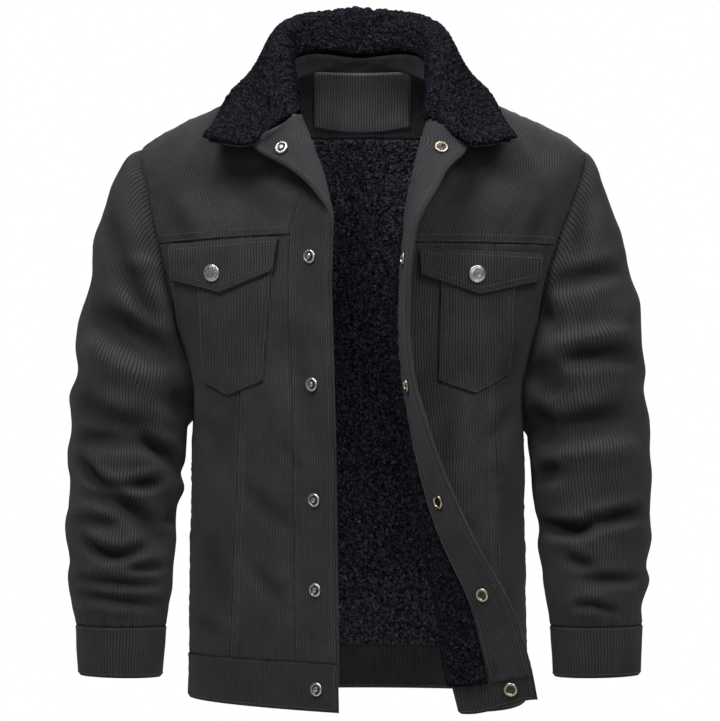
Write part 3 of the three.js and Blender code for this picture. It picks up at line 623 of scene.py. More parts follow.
# Sherpa: curled polyester pile, navy so dark that it reads as black.
# Light is lost between the curls, and only their tips show a bluish fleck.
SHERPA, tree, shader = new_material("dark_navy_sherpa_pile", 1.0)
place = node(tree, "ShaderNodeTexCoord").outputs["Object"]
tip = node(tree, "ShaderNodeAttribute", attribute_name="pile_tip").outputs["Fac"]
curl = node(tree, "ShaderNodeTexVoronoi", {"Vector": place, "Scale": 300.0, "Randomness": 1.0})
lint = object_noise(tree, 380.0, Detail=5.0, Roughness=0.75, Distortion=1.2)
strand = remap(tree, curl.outputs["Distance"], 0.0, 0.8, 1.0, 0.25)
# Painted shade and highlight: the colour is darker where the pile is low and lighter at the tips of the
# clumps; the bluish tint is the navy fibre's own.
shine = maths(tree, "MULTIPLY", strand, maths(tree, "POWER", tip, 2.0))
fleck = remap(tree, lint, 0.44, 0.64, 0.0, 1.0)
pile = blend(tree, maths(tree, "MULTIPLY", fleck, shine), "#050506", "#484856")
tree.links.new(pile, shader.inputs["Base Color"])
bumped(tree, shader, maths(tree, "MULTIPLY_ADD", lint, 0.5, strand), 1.0, 0.0022)
shader.inputs["Specular IOR Level"].default_value = 0.03
# Painted light: the back lining takes a copy of the pile with much lighter tips, to make up for the shade
# inside the body.
LINING_PILE_PAINTED_LIGHTER = recoloured(SHERPA, "dark_navy_sherpa_lining_painted_lighter", "#0a0a0d", "#8c8ca4")

# Sewing thread: tone on tone polyester, twisted, with a faint shine.
# Each stitch is a short piece of it that dips into the cloth at both ends.
THREAD, tree, shader = new_material("charcoal_twisted_thread", 0.6)
shade = blend(tree, object_noise(tree, 1500.0), "#232325", "#4b4b4e")
tree.links.new(shade, shader.inputs["Base Color"])

STITCH_PITCH, STITCH_LIFT = 3.2, 0.12
STITCHES = []


def sew_grid(outer, normals, side, inset, skip=4.0):
    """Keep a row of stitches inside one side of a panel: 0 first column, 1 last, 2 first row, 3 last."""
    distance, fields = rims(outer)[side], (outer, normals)
    if side > 1:
        distance, fields = distance.T, [field.swapaxes(0, 1) for field in fields]
    line = []
    for i, d in enumerate(distance):
        order = np.argsort(d)
        line.append([np.interp(inset, d[order], field[i, order, k]) for field in fields for k in range(3)])
    points, normals = np.hsplit(np.array(line), 2)
    points = points + normals * STITCH_LIFT
    run = np.concatenate([[0], np.cumsum(np.linalg.norm(np.diff(points, axis=0), axis=1))])
    for k in range(int((run[-1] - 2 * skip) / STITCH_PITCH)):
        ends = [skip + (k + e) * STITCH_PITCH for e in (0.12, 0.5, 0.88)]
        a, m, b = [np.array([np.interp(e, run, points[:, i]) for i in range(3)]) for e in ends]
        n = np.array([np.interp(ends[1], run, normals[:, i]) for i in range(3)])
        n /= max(np.linalg.norm(n), 1e-9)
        STITCHES.append((a, m + n * 0.22, b, n))


def stitched(name):
    """Make the stitches kept so far as one piece, each a thread of five square sections."""
    parts, faces = [], []
    for a, m, b, n in STITCHES:
        along = (b - a) / max(np.linalg.norm(b - a), 1e-9)
        side = np.cross(along, n)
        rings = [a - n * 0.1, a + along * 0.35 + n * 0.05, m, b - along * 0.35 + n * 0.05, b - n * 0.1]
        base = len(parts)
        for centre, size in zip(rings, (0.1, 0.3, 0.36, 0.3, 0.1)):
            parts += [centre + side * size, centre + n * size, centre - side * size, centre - n * size]
        for r in range(4):
            for q in range(4):
                i, j = base + 4 * r + q, base + 4 * r + (q + 1) % 4
                faces.append((i, j, j + 4, i + 4))
        faces.append((base + 3, base + 2, base + 1, base))
        faces.append((base + 16, base + 17, base + 18, base + 19))
    mesh = bpy.data.meshes.new(name)
    mesh.from_pydata([tuple(p * MM) for p in parts], [], faces)
    mesh.polygons.foreach_set("use_smooth", np.ones(len(faces), bool))
    mesh.materials.append(THREAD)
    piece = bpy.data.objects.new(name, mesh)
    bpy.context.scene.collection.objects.link(piece)
    if signed_volume(np.array(parts)[np.array(faces)]) < 0:
        mesh.flip_normals()
    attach(piece, CARRIER)
    STITCHES.clear()


BODY_ROWS = rows_between(BAND_SEAM, YOKE)
YOKE_ROWS = rows_between(YOKE, NECK)
WHOLE_ROWS = rows_between(BAND_SEAM, NECK)
BAND_ROWS = rows_between(HEM, BAND_SEAM)


def body_unevenness(grid):
    """Soft waves of the worn fronts, the same for every panel that shares a place."""
    x, z = grid[..., 0], grid[..., 2]
    slant = ripple((x + 0.35 * z) / 21, (z - 0.5 * x) / 37, 20)
    small = ripple((x - 0.2 * z) / 10, (z + 0.4 * x) / 14, 27)
    return 0.75 * slant + 0.32 * small * (0.5 + 0.5 * ripple(x / 50, z / 60, 33))


EDGE_ROW, FELL_ROW = 2.0, 8.5
CALM_ABOVE_BAND = 14


def shell(name, part, rows, start, finish, count, sides, seed, stitch, free=False):
    """One cut panel of a front, with sunk seams, puckers, folds, painted shade that follows them, and its
    topstitching.
    """
    grid, pattern = front_grid(part, rows, start, finish, count, free=free)
    n = outward(grid, OUT[part])
    front = np.maximum(-n[..., 1], 0) ** 0.5
    folds = BODY_FOLDS[part.removeprefix("front")]
    wear_and_painted_shade = body_unevenness(grid) - 1.6 * fold_depth(folds, grid[..., 0], grid[..., 2]) * front
    if rows[0] < YOKE - 1:
        wear_and_painted_shade = wear_and_painted_shade * (1 - bell(rims(grid)[2], CALM_ABOVE_BAND))
    relief = seam_relief(grid, sides, seed) + wear_and_painted_shade
    low = -CLOTH + relief * 0.9
    if free:
        edge = rims(grid)[1]
        relief = relief - 1.5 * bell(edge, 2.0)
        low = low - 0.9 * bell(edge, 2.6)
    # The relief also paints light and shade into the colour: darker where seams and folds sink, lighter
    # where the cloth rises.
    outer, _ = cloth(name, grid, n, relief, low, pattern, tone=relief)
    for k, inset in stitch:
        sew_grid(outer, n, k, inset)


# Fronts: side panel, centre panel, yoke and placket strip on each side
# Each is one layer of corduroy, joined to the next by a fell seam with two rows of topstitching.
for part, side, seed in (("frontRight", "right", 11), ("frontLeft", "left", 47)):
    shell("front_side_" + side, part, BODY_ROWS, arm, princess, 16, (1, 1, 1, 1), seed,
          [(1, EDGE_ROW)])
    shell("front_centre_" + side, part, BODY_ROWS, princess, strip, 34, (2, 1, 1, 1), seed + 1,
          [(0, EDGE_ROW), (0, FELL_ROW)])
    shell("front_yoke_" + side, part, YOKE_ROWS, arm, strip, 44, (1, 1, 2, 1), seed + 2,
          [(2, EDGE_ROW), (2, FELL_ROW)])
    shell("placket_" + side, part, WHOLE_ROWS, strip, total, 14, (1, 0, 1, 1), seed + 3,
          [(0, EDGE_ROW), (1, 6.0)], free=True)
    stitched("front_topstitching_" + side)

# Facings: the plain corduroy strip behind each front edge, which shows where the fronts turn.
# It is sewn to the front along the edge and to the sherpa along its other side.
# With the lining it reaches down over the upper part of the waistband.
FACING_END = 0.6 * BAND_SEAM


def facing_width(t):
    """The facing widens above the chest, so that it also covers the roll of the lapel."""
    return PLACKET_WIDTH - 4 + 28 * ease((t - 8.6) / 0.8)


def facing_line(part, t):
    """Distance of the facing's seam from the side seam."""
    return total(part, t) - facing_width(t)


for part, side, seed in (("frontRight", "right", 71), ("frontLeft", "left", 83)):
    rows = rows_between(FACING_END, BAND_SEAM, 4.0)[:-1] + WHOLE_ROWS
    grid, pattern = front_grid(part, rows, facing_line, total, 14, gap=INNER_SEAM, free=True)
    n = outward(grid, OUT[part])
    edge = rims(grid)[1]
    relief = seam_relief(grid, (1, 0, 1, 1), seed)
    close = 1.5 * bell(edge, 2.0)
    top = -CLOTH - FACING_GAP + 0.7 * bell(edge, 2.6)
    low = -2 * CLOTH - FACING_GAP - relief + close
    # Painted shade: the facing's colour is darker at its sewn sides and at its turned edge.
    _, inner = cloth("facing_" + side, grid, n, top, low, pattern, tone=relief - 0.4 * close)
    sew_grid(inner, -n, 1, 6.0)
    sew_grid(inner, -n, 0, 3.0)
    stitched("facing_topstitching_" + side)

# Back: one wide corduroy panel from side seam to side seam, shaped by the shoulders.
# It is sewn to the fronts and the sleeves, with one row of topstitching up each side.
grid, pattern = back_grid(WHOLE_ROWS, np.linspace(0, 1, 53))
n = outward(grid, OUT["back"])
wear_and_painted_shade = 0.8 * body_unevenness(grid)
wear_and_painted_shade -= 1.5 * fold_depth(BODY_FOLDS["Back"], grid[..., 0], grid[..., 2]) * np.maximum(n[..., 1], 0) ** 0.5
relief = seam_relief(grid, (1, 1, 1, 1), 5) + wear_and_painted_shade * (1 - bell(rims(grid)[2], CALM_ABOVE_BAND))
# Painted light and shade follow the relief: the colour is darker in the seams and folds and lighter on the
# soft waves.
outer, _ = cloth("back_panel", grid, n, relief, relief - CLOTH, pattern, tone=relief)
for k in (0, 1):
    sew_grid(outer, n, k, EDGE_ROW)
stitched("back_topstitching")


# Sherpa lining, sewn to the shell at the armholes, facings and waistband
# A knitted ground with curled pile 6 mm high, in close uneven clumps.
def curls(x, y, seed=0):
    """Rounded clumps of pile about one unit across, from about 0 between them to 1."""
    ix, iy = np.floor(x), np.floor(y)
    best = np.full(np.shape(x), 9.0)
    for dx in (-1, 0, 1):
        for dy in (-1, 0, 1):
            cx = ix + dx + 0.1 + 0.8 * scatter(ix + dx, iy + dy, seed)
            cy = iy + dy + 0.1 + 0.8 * scatter(ix + dx, iy + dy, seed + 5)
            best = np.minimum(best, (x - cx) ** 2 + (y - cy) ** 2)
    return np.clip(1 - 1.15 * best, 0, 1)


def pile_height(pattern, seed, size):
    """Height of the pile from 0 to 1: clumps of one size, with smaller ones on them."""
    u, v = pattern[..., 0], pattern[..., 1]
    x = u + 2.2 * ripple(u / 6, v / 6, seed)
    y = v + 2.2 * ripple(u / 6, v / 6, seed + 3)
    small = size * 0.55
    return 0.62 * curls(x / size, y / size, seed) + 0.38 * curls(x / small, y / small, seed + 9)


CLUMP = 2.4


def lining(name, grid, pattern, way, seed, folds, material=SHERPA, thin=1.0):
    """One piece of sherpa: its ground lies on the shell, and its pile rounds down at its edges."""
    n = outward(grid, way)
    sunk = np.maximum(fold_depth(folds, grid[..., 0], grid[..., 2]) * 1.7, 0)
    sunk = sunk * np.abs(n[..., 1]) ** 0.5
    height = pile_height(pattern, seed, 4.6)
    rounding = np.clip(np.minimum.reduce(rims(grid)) / 4.0, 0, 1)
    full = PILE - CLUMP + CLUMP * 1.15 * height
    full = 2.0 + (full - 2.0) * np.sqrt(np.clip(1 - (1 - rounding) ** 2, 0, 1))
    full = np.maximum(full - 0.5 * sunk, 1.5) * thin
    top = -CLOTH - LAYER_GAP - 0.3 - sunk
    cloth(name, grid, n, top, top - full, pattern, "sherpa", material, tips=height)


denser = [np.linspace(0, 80, 36)[:-1], np.linspace(80, 150, 26)[:-1], np.linspace(150, 300, 16)]
grid, pattern = back_grid(rows_between(BAND_SEAM, NECK_FACING_LEVEL, 3.0), np.concatenate(denser) / 300)
# The back lining's pile is painted lighter than the rest of the sherpa, for the shade inside the body.
lining("lining_back", grid, pattern, OUT["back"], 21, BODY_FOLDS["Back"], LINING_PILE_PAINTED_LIGHTER)
rows = rows_between(FACING_END, NECK, 3.4)
for part, side, seed in (("frontRight", "right", 23), ("frontLeft", "left", 29)):
    grid, pattern = [], []
    for t in rows:
        a, b = arm(part, t) + SEAM, facing_line(part, t) - INNER_SEAM
        near = min(70, (b - a) * 0.6)
        d = np.concatenate([np.linspace(a, b - near, 12)[:-1], np.linspace(b - near, b, 30)])
        grid.append(spots(part, t, d))
        pattern.append(np.stack([total(part, t) - d, grid[-1][:, 2]], -1))
    pattern = np.array(pattern)
    beside = np.clip((pattern[..., 0] - PLACKET_WIDTH) / 30, 0, 1)
    high = np.clip((np.array(rows) - 8.9) / 0.5, 0, 1)[:, None]
    lining("lining_" + side, np.array(grid), pattern, OUT[part], seed, BODY_FOLDS[side.capitalize()],
           thin=1 - 0.72 * high * (1 - beside))

# Back neck facing: plain corduroy inside the neck, above the sherpa, with the blank patch on it.
# Its upper edge climbs the stand of the collar at both sides, so the sherpa ends in a level line.
def stand_up(seam):
    """Where the neck seam lies on the stand: level at the back, higher than the shell at the sides."""
    x = seam[..., 0]
    high = 2 + 15 * ease(np.abs(x) / 68)
    return np.stack([0.25 * high * np.sign(x), -0.5 * high, high], -1)


grid, pattern = back_grid(rows_between(NECK_FACING_LEVEL, NECK, 4.0), np.linspace(0, 1, 31))
seam, across = grid[-1], pattern[-1]
climb = stand_up(seam)
for share in (0.25, 0.5, 0.75, 1.0):
    grid = np.vstack([grid, (seam + share * climb)[None]])
    pattern = np.vstack([pattern, np.stack([across[:, 0], across[:, 1] + share * climb[:, 2]], -1)[None]])
for _ in range(6):
    grid[8:-1] += 0.25 * (grid[7:-2] - 2 * grid[8:-1] + grid[9:])
n = outward(grid, OUT["back"])
relief = seam_relief(grid, (0, 0, 1, 1), 31)
# Painted shade: the rows that climb the collar's stand are painted darker, and the rest of the facing a
# little lighter.
shade = 1.5 - 6.0 * ease((np.arange(len(grid)) - len(grid) + 7) / 4)[:, None]
top = -CLOTH - FACING_GAP
_, inner = cloth("back_neck_facing", grid, n, top, top - CLOTH - relief, pattern, tone=relief + shade)
neck_wall = inner.reshape(-1, 3)

# Waistband: doubled corduroy in three lengths, closed along the hem by its fold.
# Its upper edge is tucked under the panels, so the seam is closed.
TUCK = np.array([0, 0, 2.6])


def waistband(side, way, grid, pattern, seams, seed, tone, free):
    """One length of the band. A free length also rounds down at the front edge."""
    n = outward(grid, way)
    relief = seam_relief(grid, seams, seed)
    _, ahead, below, _ = rims(grid)
    curve = 1.9 * bell(np.minimum(below, ahead) if free else below, 1.8)
    outer = grid + n * (relief - curve)[..., None]
    inner = grid + n * (-DOUBLE_CLOTH - relief * 0.7 + curve)[..., None]
    share = (1 - bell(ahead[-1], 4))[:, None] if free else 1.0
    outer[-1] += share * (TUCK - n[-1] * (CLOTH + 0.3))
    inner[-1] += share * TUCK
    name = "waistband_" + side
    # Painted shade follows the relief: the colour is darker at the sunk seams, and the given tone moves a
    # whole length darker or lighter.
    sheet(wall(name, outer, inner, pattern, CORDUROY, tone=relief + tone), name)
    for k, inset in ((2, 4.0), (3, 2.2), (1, 5.0))[:3 if free else 2]:
        sew_grid(outer, n, k, inset)
        sew_grid(inner, -n, k, inset)


for part, side, seed in (("frontRight", "right", 33), ("frontLeft", "left", 34)):
    grid, pattern = front_grid(part, BAND_ROWS, lambda p, t: 0.0, total, 62, free=True)
    # The front lengths are painted a fixed step darker.
    waistband(side, OUT[part], grid, pattern, (1, 0, 0, 1), seed, -1.2, True)
grid, pattern = back_grid(BAND_ROWS, np.linspace(0, 1, 61))
waistband("back", OUT["back"], grid, pattern, (1, 1, 0, 1), 35, 0.0, False)
stitched("waistband_topstitching")


# Chest pockets and their pointed flaps, cut from the same corduroy and sewn on the fronts
# The flap is doubled cloth, edge stitched, closed by one snap; the pocket's sides are stitched down.
SURFACE_STEP = 0.02
SURFACES = {}


def surface(part):
    """The main part of a front or back, as a table of places by level and across."""
    if part not in SURFACES:
        ts = np.linspace(0, NECK, round(NECK / SURFACE_STEP) + 1)
        rows = [line_at(part, t) for t in ts]
        SURFACES[part] = (ts, np.array([points[:MAIN_STEPS + 1] for points, _ in rows]))
    return SURFACES[part]


def between(u, v, corners):
    """A value between four corners: u along the first step, v along the second."""
    (a, b), (c, d) = corners
    return (a * (1 - v) + b * v) * (1 - u) + (c * (1 - v) + d * v) * u


def seats(part, xs, zs):
    """Places on a front or back that are seen at x and z from the front."""
    ts, cloth = surface(part)
    found = []
    us, last = np.arange(MAIN_STEPS + 1), len(ts) - 2
    for x, z in zip(np.ravel(xs), np.ravel(zs)):
        t = 5.0
        for _ in range(9):
            k = min(int(t / SURFACE_STEP), last)
            w = t / SURFACE_STEP - k
            row = np.abs(cloth[k, :, 0]) * (1 - w) + np.abs(cloth[k + 1, :, 0]) * w
            first = int(np.argmax(row))
            u = float(np.interp(-abs(x), -row[first:], us[first:]))
            j = min(int(u), MAIN_STEPS - 1)
            v = u - j
            column = cloth[:, j, 2] * (1 - v) + cloth[:, j + 1, 2] * v
            t = float(np.interp(z, column, ts))
        k = min(int(t / SURFACE_STEP), last)
        w = t / SURFACE_STEP - k
        found.append(between(w, v, cloth[k:k + 2, j:j + 2]))
    return np.array(found).reshape(np.shape(xs) + (3,))


def pointed(part, top, bottom, point, columns, rows):
    """A pointed piece on a front, from its top edge down, and its shape as seen from the front."""
    c = np.linspace(0, 1, columns + 1)[None, :]
    r = np.linspace(0, 1, rows + 1)[:, None]
    at, drop = point
    half = np.where(c < at, c / at, (1 - c) / (1 - at))
    z_top = top[1][0] + (top[1][1] - top[1][0]) * c
    z_bottom = bottom[1][0] + (bottom[1][1] - bottom[1][0]) * c - drop * half
    x = ((top[0][0] + (top[0][1] - top[0][0]) * c) * (1 - r)
         + (bottom[0][0] + (bottom[0][1] - bottom[0][0]) * c) * r)
    z = z_top + (z_bottom - z_top) * r
    grid = seats(part, x, z)
    return grid, np.stack([np.abs(x), z], -1)


POCKET = {
    "right": (((-173, -92), (-184, -180)), ((-167, -102), (-304, -303)), (0.42, 15)),
    "left": (((165, 85), (-190, -184)), ((161, 82), (-296, -303)), (0.5, 17))}
FLAP = {
    "right": (((-203, -85), (-158, -151)), ((-199, -90), (-195, -187)), (0.48, 18)),
    "left": (((193, 62), (-167, -162)), ((189, 63), (-196, -190)), (0.5, 18))}
FLAP_FOLDS = {
    "right": [(-190, -178, -180, -180, -168, -176, 5, 0.8)],
    "left": [(89, -153, 98, -163, 105, -166, 5, 1.6), (165, -168, 172, -180, 178, -190, 7, 0.7)]}
for part, side, sign in (("frontRight", "right", -1), ("frontLeft", "left", 1)):
    grid, pattern = pointed(part, *POCKET[side], 44, 50)
    n = outward(grid, sign)
    relief = seam_relief(grid, (1, 1, 0, 1), 51 + sign, 0.5) + 0.5 + body_unevenness(grid)
    relief -= 1.6 * fold_depth(BODY_FOLDS[side.capitalize()], grid[..., 0], grid[..., 2])
    # Painted shade follows the relief: the pocket's colour is darker at its sunk sides and in its folds.
    outer, _ = cloth("pocket_" + side, grid, n, 1.9 + relief, 0.5 + relief, pattern, tone=relief - 0.5)
    for k, inset in ((0, 2.0), (1, 2.0), (3, 2.0), (0, 8.0), (1, 8.0)):
        sew_grid(outer, n, k, inset)
    grid, pattern = pointed(part, *FLAP[side], 60, 24)
    n = outward(grid, sign)
    across, other, down, up = rims(grid)
    edge = np.minimum.reduce([across, other, up])
    relief = -1.1 * bell(edge, 1.5) - 0.3 * bell(edge - 7, 1.4)
    relief += 0.35 * ripple(grid[..., 0] / 16, grid[..., 2] / 20, 61 + sign)
    relief -= fold_depth(FLAP_FOLDS[side], grid[..., 0], grid[..., 2])
    relief -= 2.6 * bell(down, 5.0)
    low = 3.2 + 0.5 * relief + 0.8 * bell(edge, 1.5)
    # Painted shade: the flap's colour is darker at its edges and along the seam at its top, down to a
    # floor.
    outer, _ = cloth("pocket_flap_" + side, grid, n, 5.7 + relief, low, pattern,
                     tone=np.maximum(relief, -1.2))
    for k in (0, 1, 3):
        sew_grid(outer, n, k, 2.0)
        sew_grid(outer, n, k, 8.0, skip=8.0)
    sew_grid(outer, n, 2, 5.0)
    stitched("pocket_topstitching_" + side)

# Neck patch: a plain doubled oblong of fine corduroy with a rounded lower edge, sewn on all round.
# It is blank, and follows the inside of the neck facing.
# Painted light: the patch's colours are raised well above the shell's, to make up for the shade inside the
# neck.
PATCH = make_corduroy("charcoal_patch_corduroy", "#56565a", "#28282a", 0.6)
PATCH_SIDE, PATCH_WIDTH, PATCH_TOP, PATCH_BOTTOM, PATCH_ROUND = -51, 107, 35, -23, 6
c = np.linspace(0, 1, 53)[None, :]
r = np.linspace(0, 1, 31)[:, None]
x = PATCH_SIDE + PATCH_WIDTH * c + 0 * r
z = PATCH_TOP + (PATCH_BOTTOM - PATCH_ROUND * np.sin(math.pi * c) - PATCH_TOP) * r
apart = (x[..., None] - neck_wall[:, 0]) ** 2 + (z[..., None] - neck_wall[:, 2]) ** 2
share = np.exp(-apart / 30)
y = (share * neck_wall[:, 1]).sum(-1) / share.sum(-1)
grid = np.stack([x, y, z], -1)
n = outward(grid, 1)
n = n * np.where(n[..., 1:2].mean() < 0, -1, 1)
edge = np.minimum.reduce(rims(grid))
swell = -0.9 * bell(edge, 1.3) - 0.35 * bell(edge - 4, 1.2)
swell += 0.25 * ripple(x / 14, z / 14, 77)
# Painted light and shade: the patch's colour is a step lighter all over, and darker where its edges sink.
_, inner = cloth("neck_patch", grid, n, -0.5, -2.0 - swell, np.stack([x, z], -1), "patch", PATCH,
                 tone=swell + 1.0)
for k in range(4):
    sew_grid(inner, -n, k, 3.0)
stitched("patch_stitching")

# Collar: a turned down leaf of sherpa over an under collar of corduroy
# The pile is long and tufted, rolls over the top of the neck and hides the edges of the leaf.
COLLAR = table(
    ["rollX", "rollY", "rollZ", "midX", "midY", "midZ", "edgeX", "edgeY", "edgeZ"], [
        [0, 70, 98, 0, 92, 62, 0, 101, 13],
        [-62, 53, 88, -86, 70, 52, -98, 78, 10],
        [-85, 0, 67, -108, 0, 27, -131, 0, 4],
        [-83, -34, 35, -113, -42, -5, -152, -54, -36],
        [-78, -66, -16, -116, -84, -47, -159, -82, -46]])


def even_curve(knots, count):
    """A smooth curve through the knots, as evenly spaced places."""
    knots = np.array(knots)
    padded = np.vstack([2 * knots[0] - knots[1], knots, 2 * knots[-1] - knots[-2]])
    points = [knots[0]]
    for i in range(1, len(padded) - 2):
        p0, p1, p2, p3 = padded[i - 1:i + 3]
        d0, d1, d2 = [max(np.linalg.norm(q - p) ** 0.5, 1e-4) for p, q in ((p0, p1), (p1, p2), (p2, p3))]
        m = ((p1 - p0) / d0 - (p2 - p0) / (d0 + d1) + (p2 - p1) / d1) * d1
        k = ((p2 - p1) / d1 - (p3 - p1) / (d1 + d2) + (p3 - p2) / d2) * d1
        for u in np.linspace(0, 1, 41)[1:]:
            points.append(p1 + m * u + (-3 * p1 + 3 * p2 - 2 * m - k) * u * u
                          + (2 * p1 - 2 * p2 + m + k) * u ** 3)
    points = np.array(points)
    run = np.concatenate([[0], np.cumsum(np.linalg.norm(np.diff(points, axis=0), axis=1))])
    even = np.linspace(0, run[-1], count)
    return np.stack([np.interp(even, run, points[:, i]) for i in range(3)], -1)


def collar_grid(stations, steps):
    """Places on the leaf, from the neck seam over the roll to its edge, at stations round the neck."""
    grid = []
    for c in np.linspace(-1.03, 1.03, stations):
        side, sign, a = ("Right", 1, abs(c)) if c < 0 else ("Left", -1, abs(c))
        if a < 0.5:
            part, far = "back" + side, (1 - 2 * a) * total("back" + side, NECK)
        else:
            part, far = "front" + side, (2 * a - 1) * line_at("front" + side, NECK)[1][MAIN_STEPS]
        base = spots(part, NECK, np.array([far]))[0]
        knots = [[pick(COLLAR, name + axis, 4 * a) for axis in "XYZ"] for name in ("roll", "mid", "edge")]
        roll, mid, edge = np.array(knots) * [sign, 1, 1]
        foot = base + stand_up(base) * (1 - ease((a - 0.5) / 0.3))
        stand = foot + (roll - foot) * 0.55
        stand[:2] += (base - roll)[:2] * 0.25
        grid.append(even_curve([foot, stand, roll, mid, edge], steps))
    return np.array(grid)


grid = collar_grid(340, 82)
run = rims(grid)
pattern = np.stack([run[2], run[0]], -1)
n = outward(grid, -1)
height = pile_height(pattern, 91, 6.2)
fine = pile_height(pattern, 95, 3.2)
edge = np.minimum.reduce(run)
rounding = np.sqrt(np.clip(1 - (1 - np.clip(edge / 7.0, 0, 1)) ** 2, 0, 1))
loft = 1.2 + (COLLAR_PILE - 5.8) * rounding + 5.8 * height * (0.35 + 0.65 * rounding) + 1.4 * fine
top = grid + n * (0.5 + loft)[..., None]
over = 2.0 + 4.4 * height
along = np.gradient(grid, axis=0)
for k, way, more in ((1, np.gradient(grid, axis=1), 0.0), (2, -along, 1.5), (3, along, 1.5)):
    size = np.maximum(np.linalg.norm(way, axis=2, keepdims=True), 1e-9)
    top = top + way / size * (bell(run[k], 5.0) * (over + more))[..., None]
tips = np.clip(0.75 * height + 0.25 * fine, 0, 1)
sheet(wall("collar", top, grid + n * 0.5, pattern, SHERPA, tips=tips), "collar")
grid = collar_grid(120, 34)
run = rims(grid)
pattern = np.stack([run[2], run[0]], -1)
cloth("under_collar", grid, outward(grid, -1), -1.0, -1.0 - CLOTH, pattern, tone=0 * pattern[..., 0])

# Sleeves: a corduroy tube set into each armhole, bent at the elbow and deeply creased
# The cloth stacks in soft uneven folds from the elbow to the cuff, as on an arm hanging forward.
# Each ends in a cuff of doubled corduroy.
SLEEVE_COLUMNS = ["outX", "outZ", "inX", "inZ", "depth", "y"]
SLEEVES = {
    "right": table(SLEEVE_COLUMNS, [
        [-235, -52, -190, -265, 50, 0], [-251, -64, -194, -274, 55, 0], [-267, -92, -193, -288, 60, 0],
        [-275, -121, -191.5, -301, 64, 0], [-286, -154, -190, -315, 67, 1], [-288, -191, -188, -329, 69, 2],
        [-301, -236, -187.5, -343, 70, 3], [-306, -264, -188, -358, 70, 4], [-304, -295, -189, -374, 69, 4],
        [-312, -320, -191, -390, 68, 3], [-309, -347, -195, -403, 66, 1],
        [-314, -381, -191, -419, 65, -2], [-311, -410, -197, -435, 63, -6],
        [-312, -437, -199, -456, 61, -11], [-316, -462, -199, -476, 59, -17],
        [-311, -495, -202, -503, 56, -24], [-312, -516, -203, -525, 54, -29],
        [-307, -540, -206, -545, 51, -34], [-302, -563, -209, -564, 44, -38],
        [-301, -590, -211, -591, 42, -41], [-299, -616, -213, -618, 41, -43]]),
    "left": table(SLEEVE_COLUMNS, [
        [238, -52, 188, -265, 50, 0], [251, -66, 192, -274, 55, 0], [262, -94, 191, -288, 60, 0],
        [272, -124, 189, -301, 64, 0], [283, -151, 187, -315, 67, 1], [289, -187, 184.5, -329, 69, 2],
        [301, -217, 183.5, -343, 70, 3], [303, -262, 183, -358, 70, 4], [307, -291, 184, -374, 69, 4],
        [305, -314, 186, -390, 68, 3], [311.5, -346, 187, -405, 66, 1], [311, -380, 188, -424, 65, -2],
        [313, -408, 190, -443, 63, -6], [310, -446, 195, -462, 61, -11], [311.5, -471, 193, -482, 59, -17],
        [305.5, -500, 197, -505, 56, -24], [308, -517, 199, -525, 54, -29], [301, -541, 202, -545, 51, -34],
        [300, -563, 205, -564, 44, -38], [299, -590, 207, -591, 42, -41], [298, -616, 208, -618, 41, -43]])}
SLEEVE_FOLDS = {
    "right": [
        (-263, -123, -258, -166, -224, -230, 12, 3), (-251, -176, -232, -177, -213, -182, 8, -3),
        (-245, -184, -229, -220, -211, -238, 9, 5), (-290, -230, -250, -247, -193, -278, 14, 7),
        (-299, -266, -256, -287, -205, -310, 12, -5), (-299, -316, -266, -345, -213, -352, 12, 6),
        (-201, -312, -192, -325, -183, -338, 13, 7), (-303, -363, -271, -366, -237, -366, 9, 5),
        (-237, -366, -218, -375, -196, -391, 8, 7), (-297, -383, -281, -407, -253, -415, 6, 5.5),
        (-253, -415, -227, -412, -214, -410, 6, 5.5), (-284, -426, -246, -437, -212, -474, 9, 7),
        (-210, -441, -202, -449, -196, -457, 9, 4.5), (-305, -449, -279, -453, -253, -454, 8, 4),
        (-297, -465, -264, -487, -227, -476, 6, 6), (-247, -502, -229, -501, -212, -500, 5, 3.5),
        (-302, -512, -258, -517, -212, -519, 6, 3.5), (-301, -529, -258, -534, -213, -539, 6, 3.5)],
    "left": [
        (232, -89, 233, -126, 231, -169, 10, 3), (201, -199, 240, -191, 279, -183, 9, 5),
        (193, -217, 200, -229, 208, -241, 9, 5), (199, -269, 245, -256, 292, -255, 10, -4.5),
        (213, -283, 251, -273, 299, -275, 10, 6), (185, -281, 199, -299, 213, -317, 13, 7),
        (179, -332, 194, -350, 209, -368, 13, 7.5), (208, -348, 247, -345, 280, -336, 11, 5),
        (202, -385, 251, -378, 299, -370, 10, -5), (187, -408, 202, -401, 216, -394, 9, 4.5),
        (192, -456, 227, -461, 247, -453, 7, 7), (247, -453, 273, -447, 304, -441, 7, 6.5),
        (220, -488, 234, -495, 247, -498, 6, 4), (233, -512, 267, -513, 300, -512, 6, 3.5),
        (227, -542, 247, -540, 273, -549, 5, 3.5)]}
# Down to the height in HANG each sleeve rests against the body. The rows count from 0 at the armhole.
HANG = {"right": 338, "left": 348}
SLEEVE_END, CUFF_END = 18, 20
AROUND = 116
ANGLES = np.arange(AROUND) * 2 * math.pi / AROUND


def sleeve_row(side, u):
    rows = SLEEVES[side]
    at = {column: pick(rows, column, u) for column in SLEEVE_COLUMNS}
    cos, sin = np.cos(ANGLES), np.sin(ANGLES)
    return np.stack([(at["outX"] + at["inX"]) / 2 + (at["outX"] - at["inX"]) / 2 * cos,
                     at["y"] - at["depth"] * sin,
                     (at["outZ"] + at["inZ"]) / 2 + (at["outZ"] - at["inZ"]) / 2 * cos], -1)


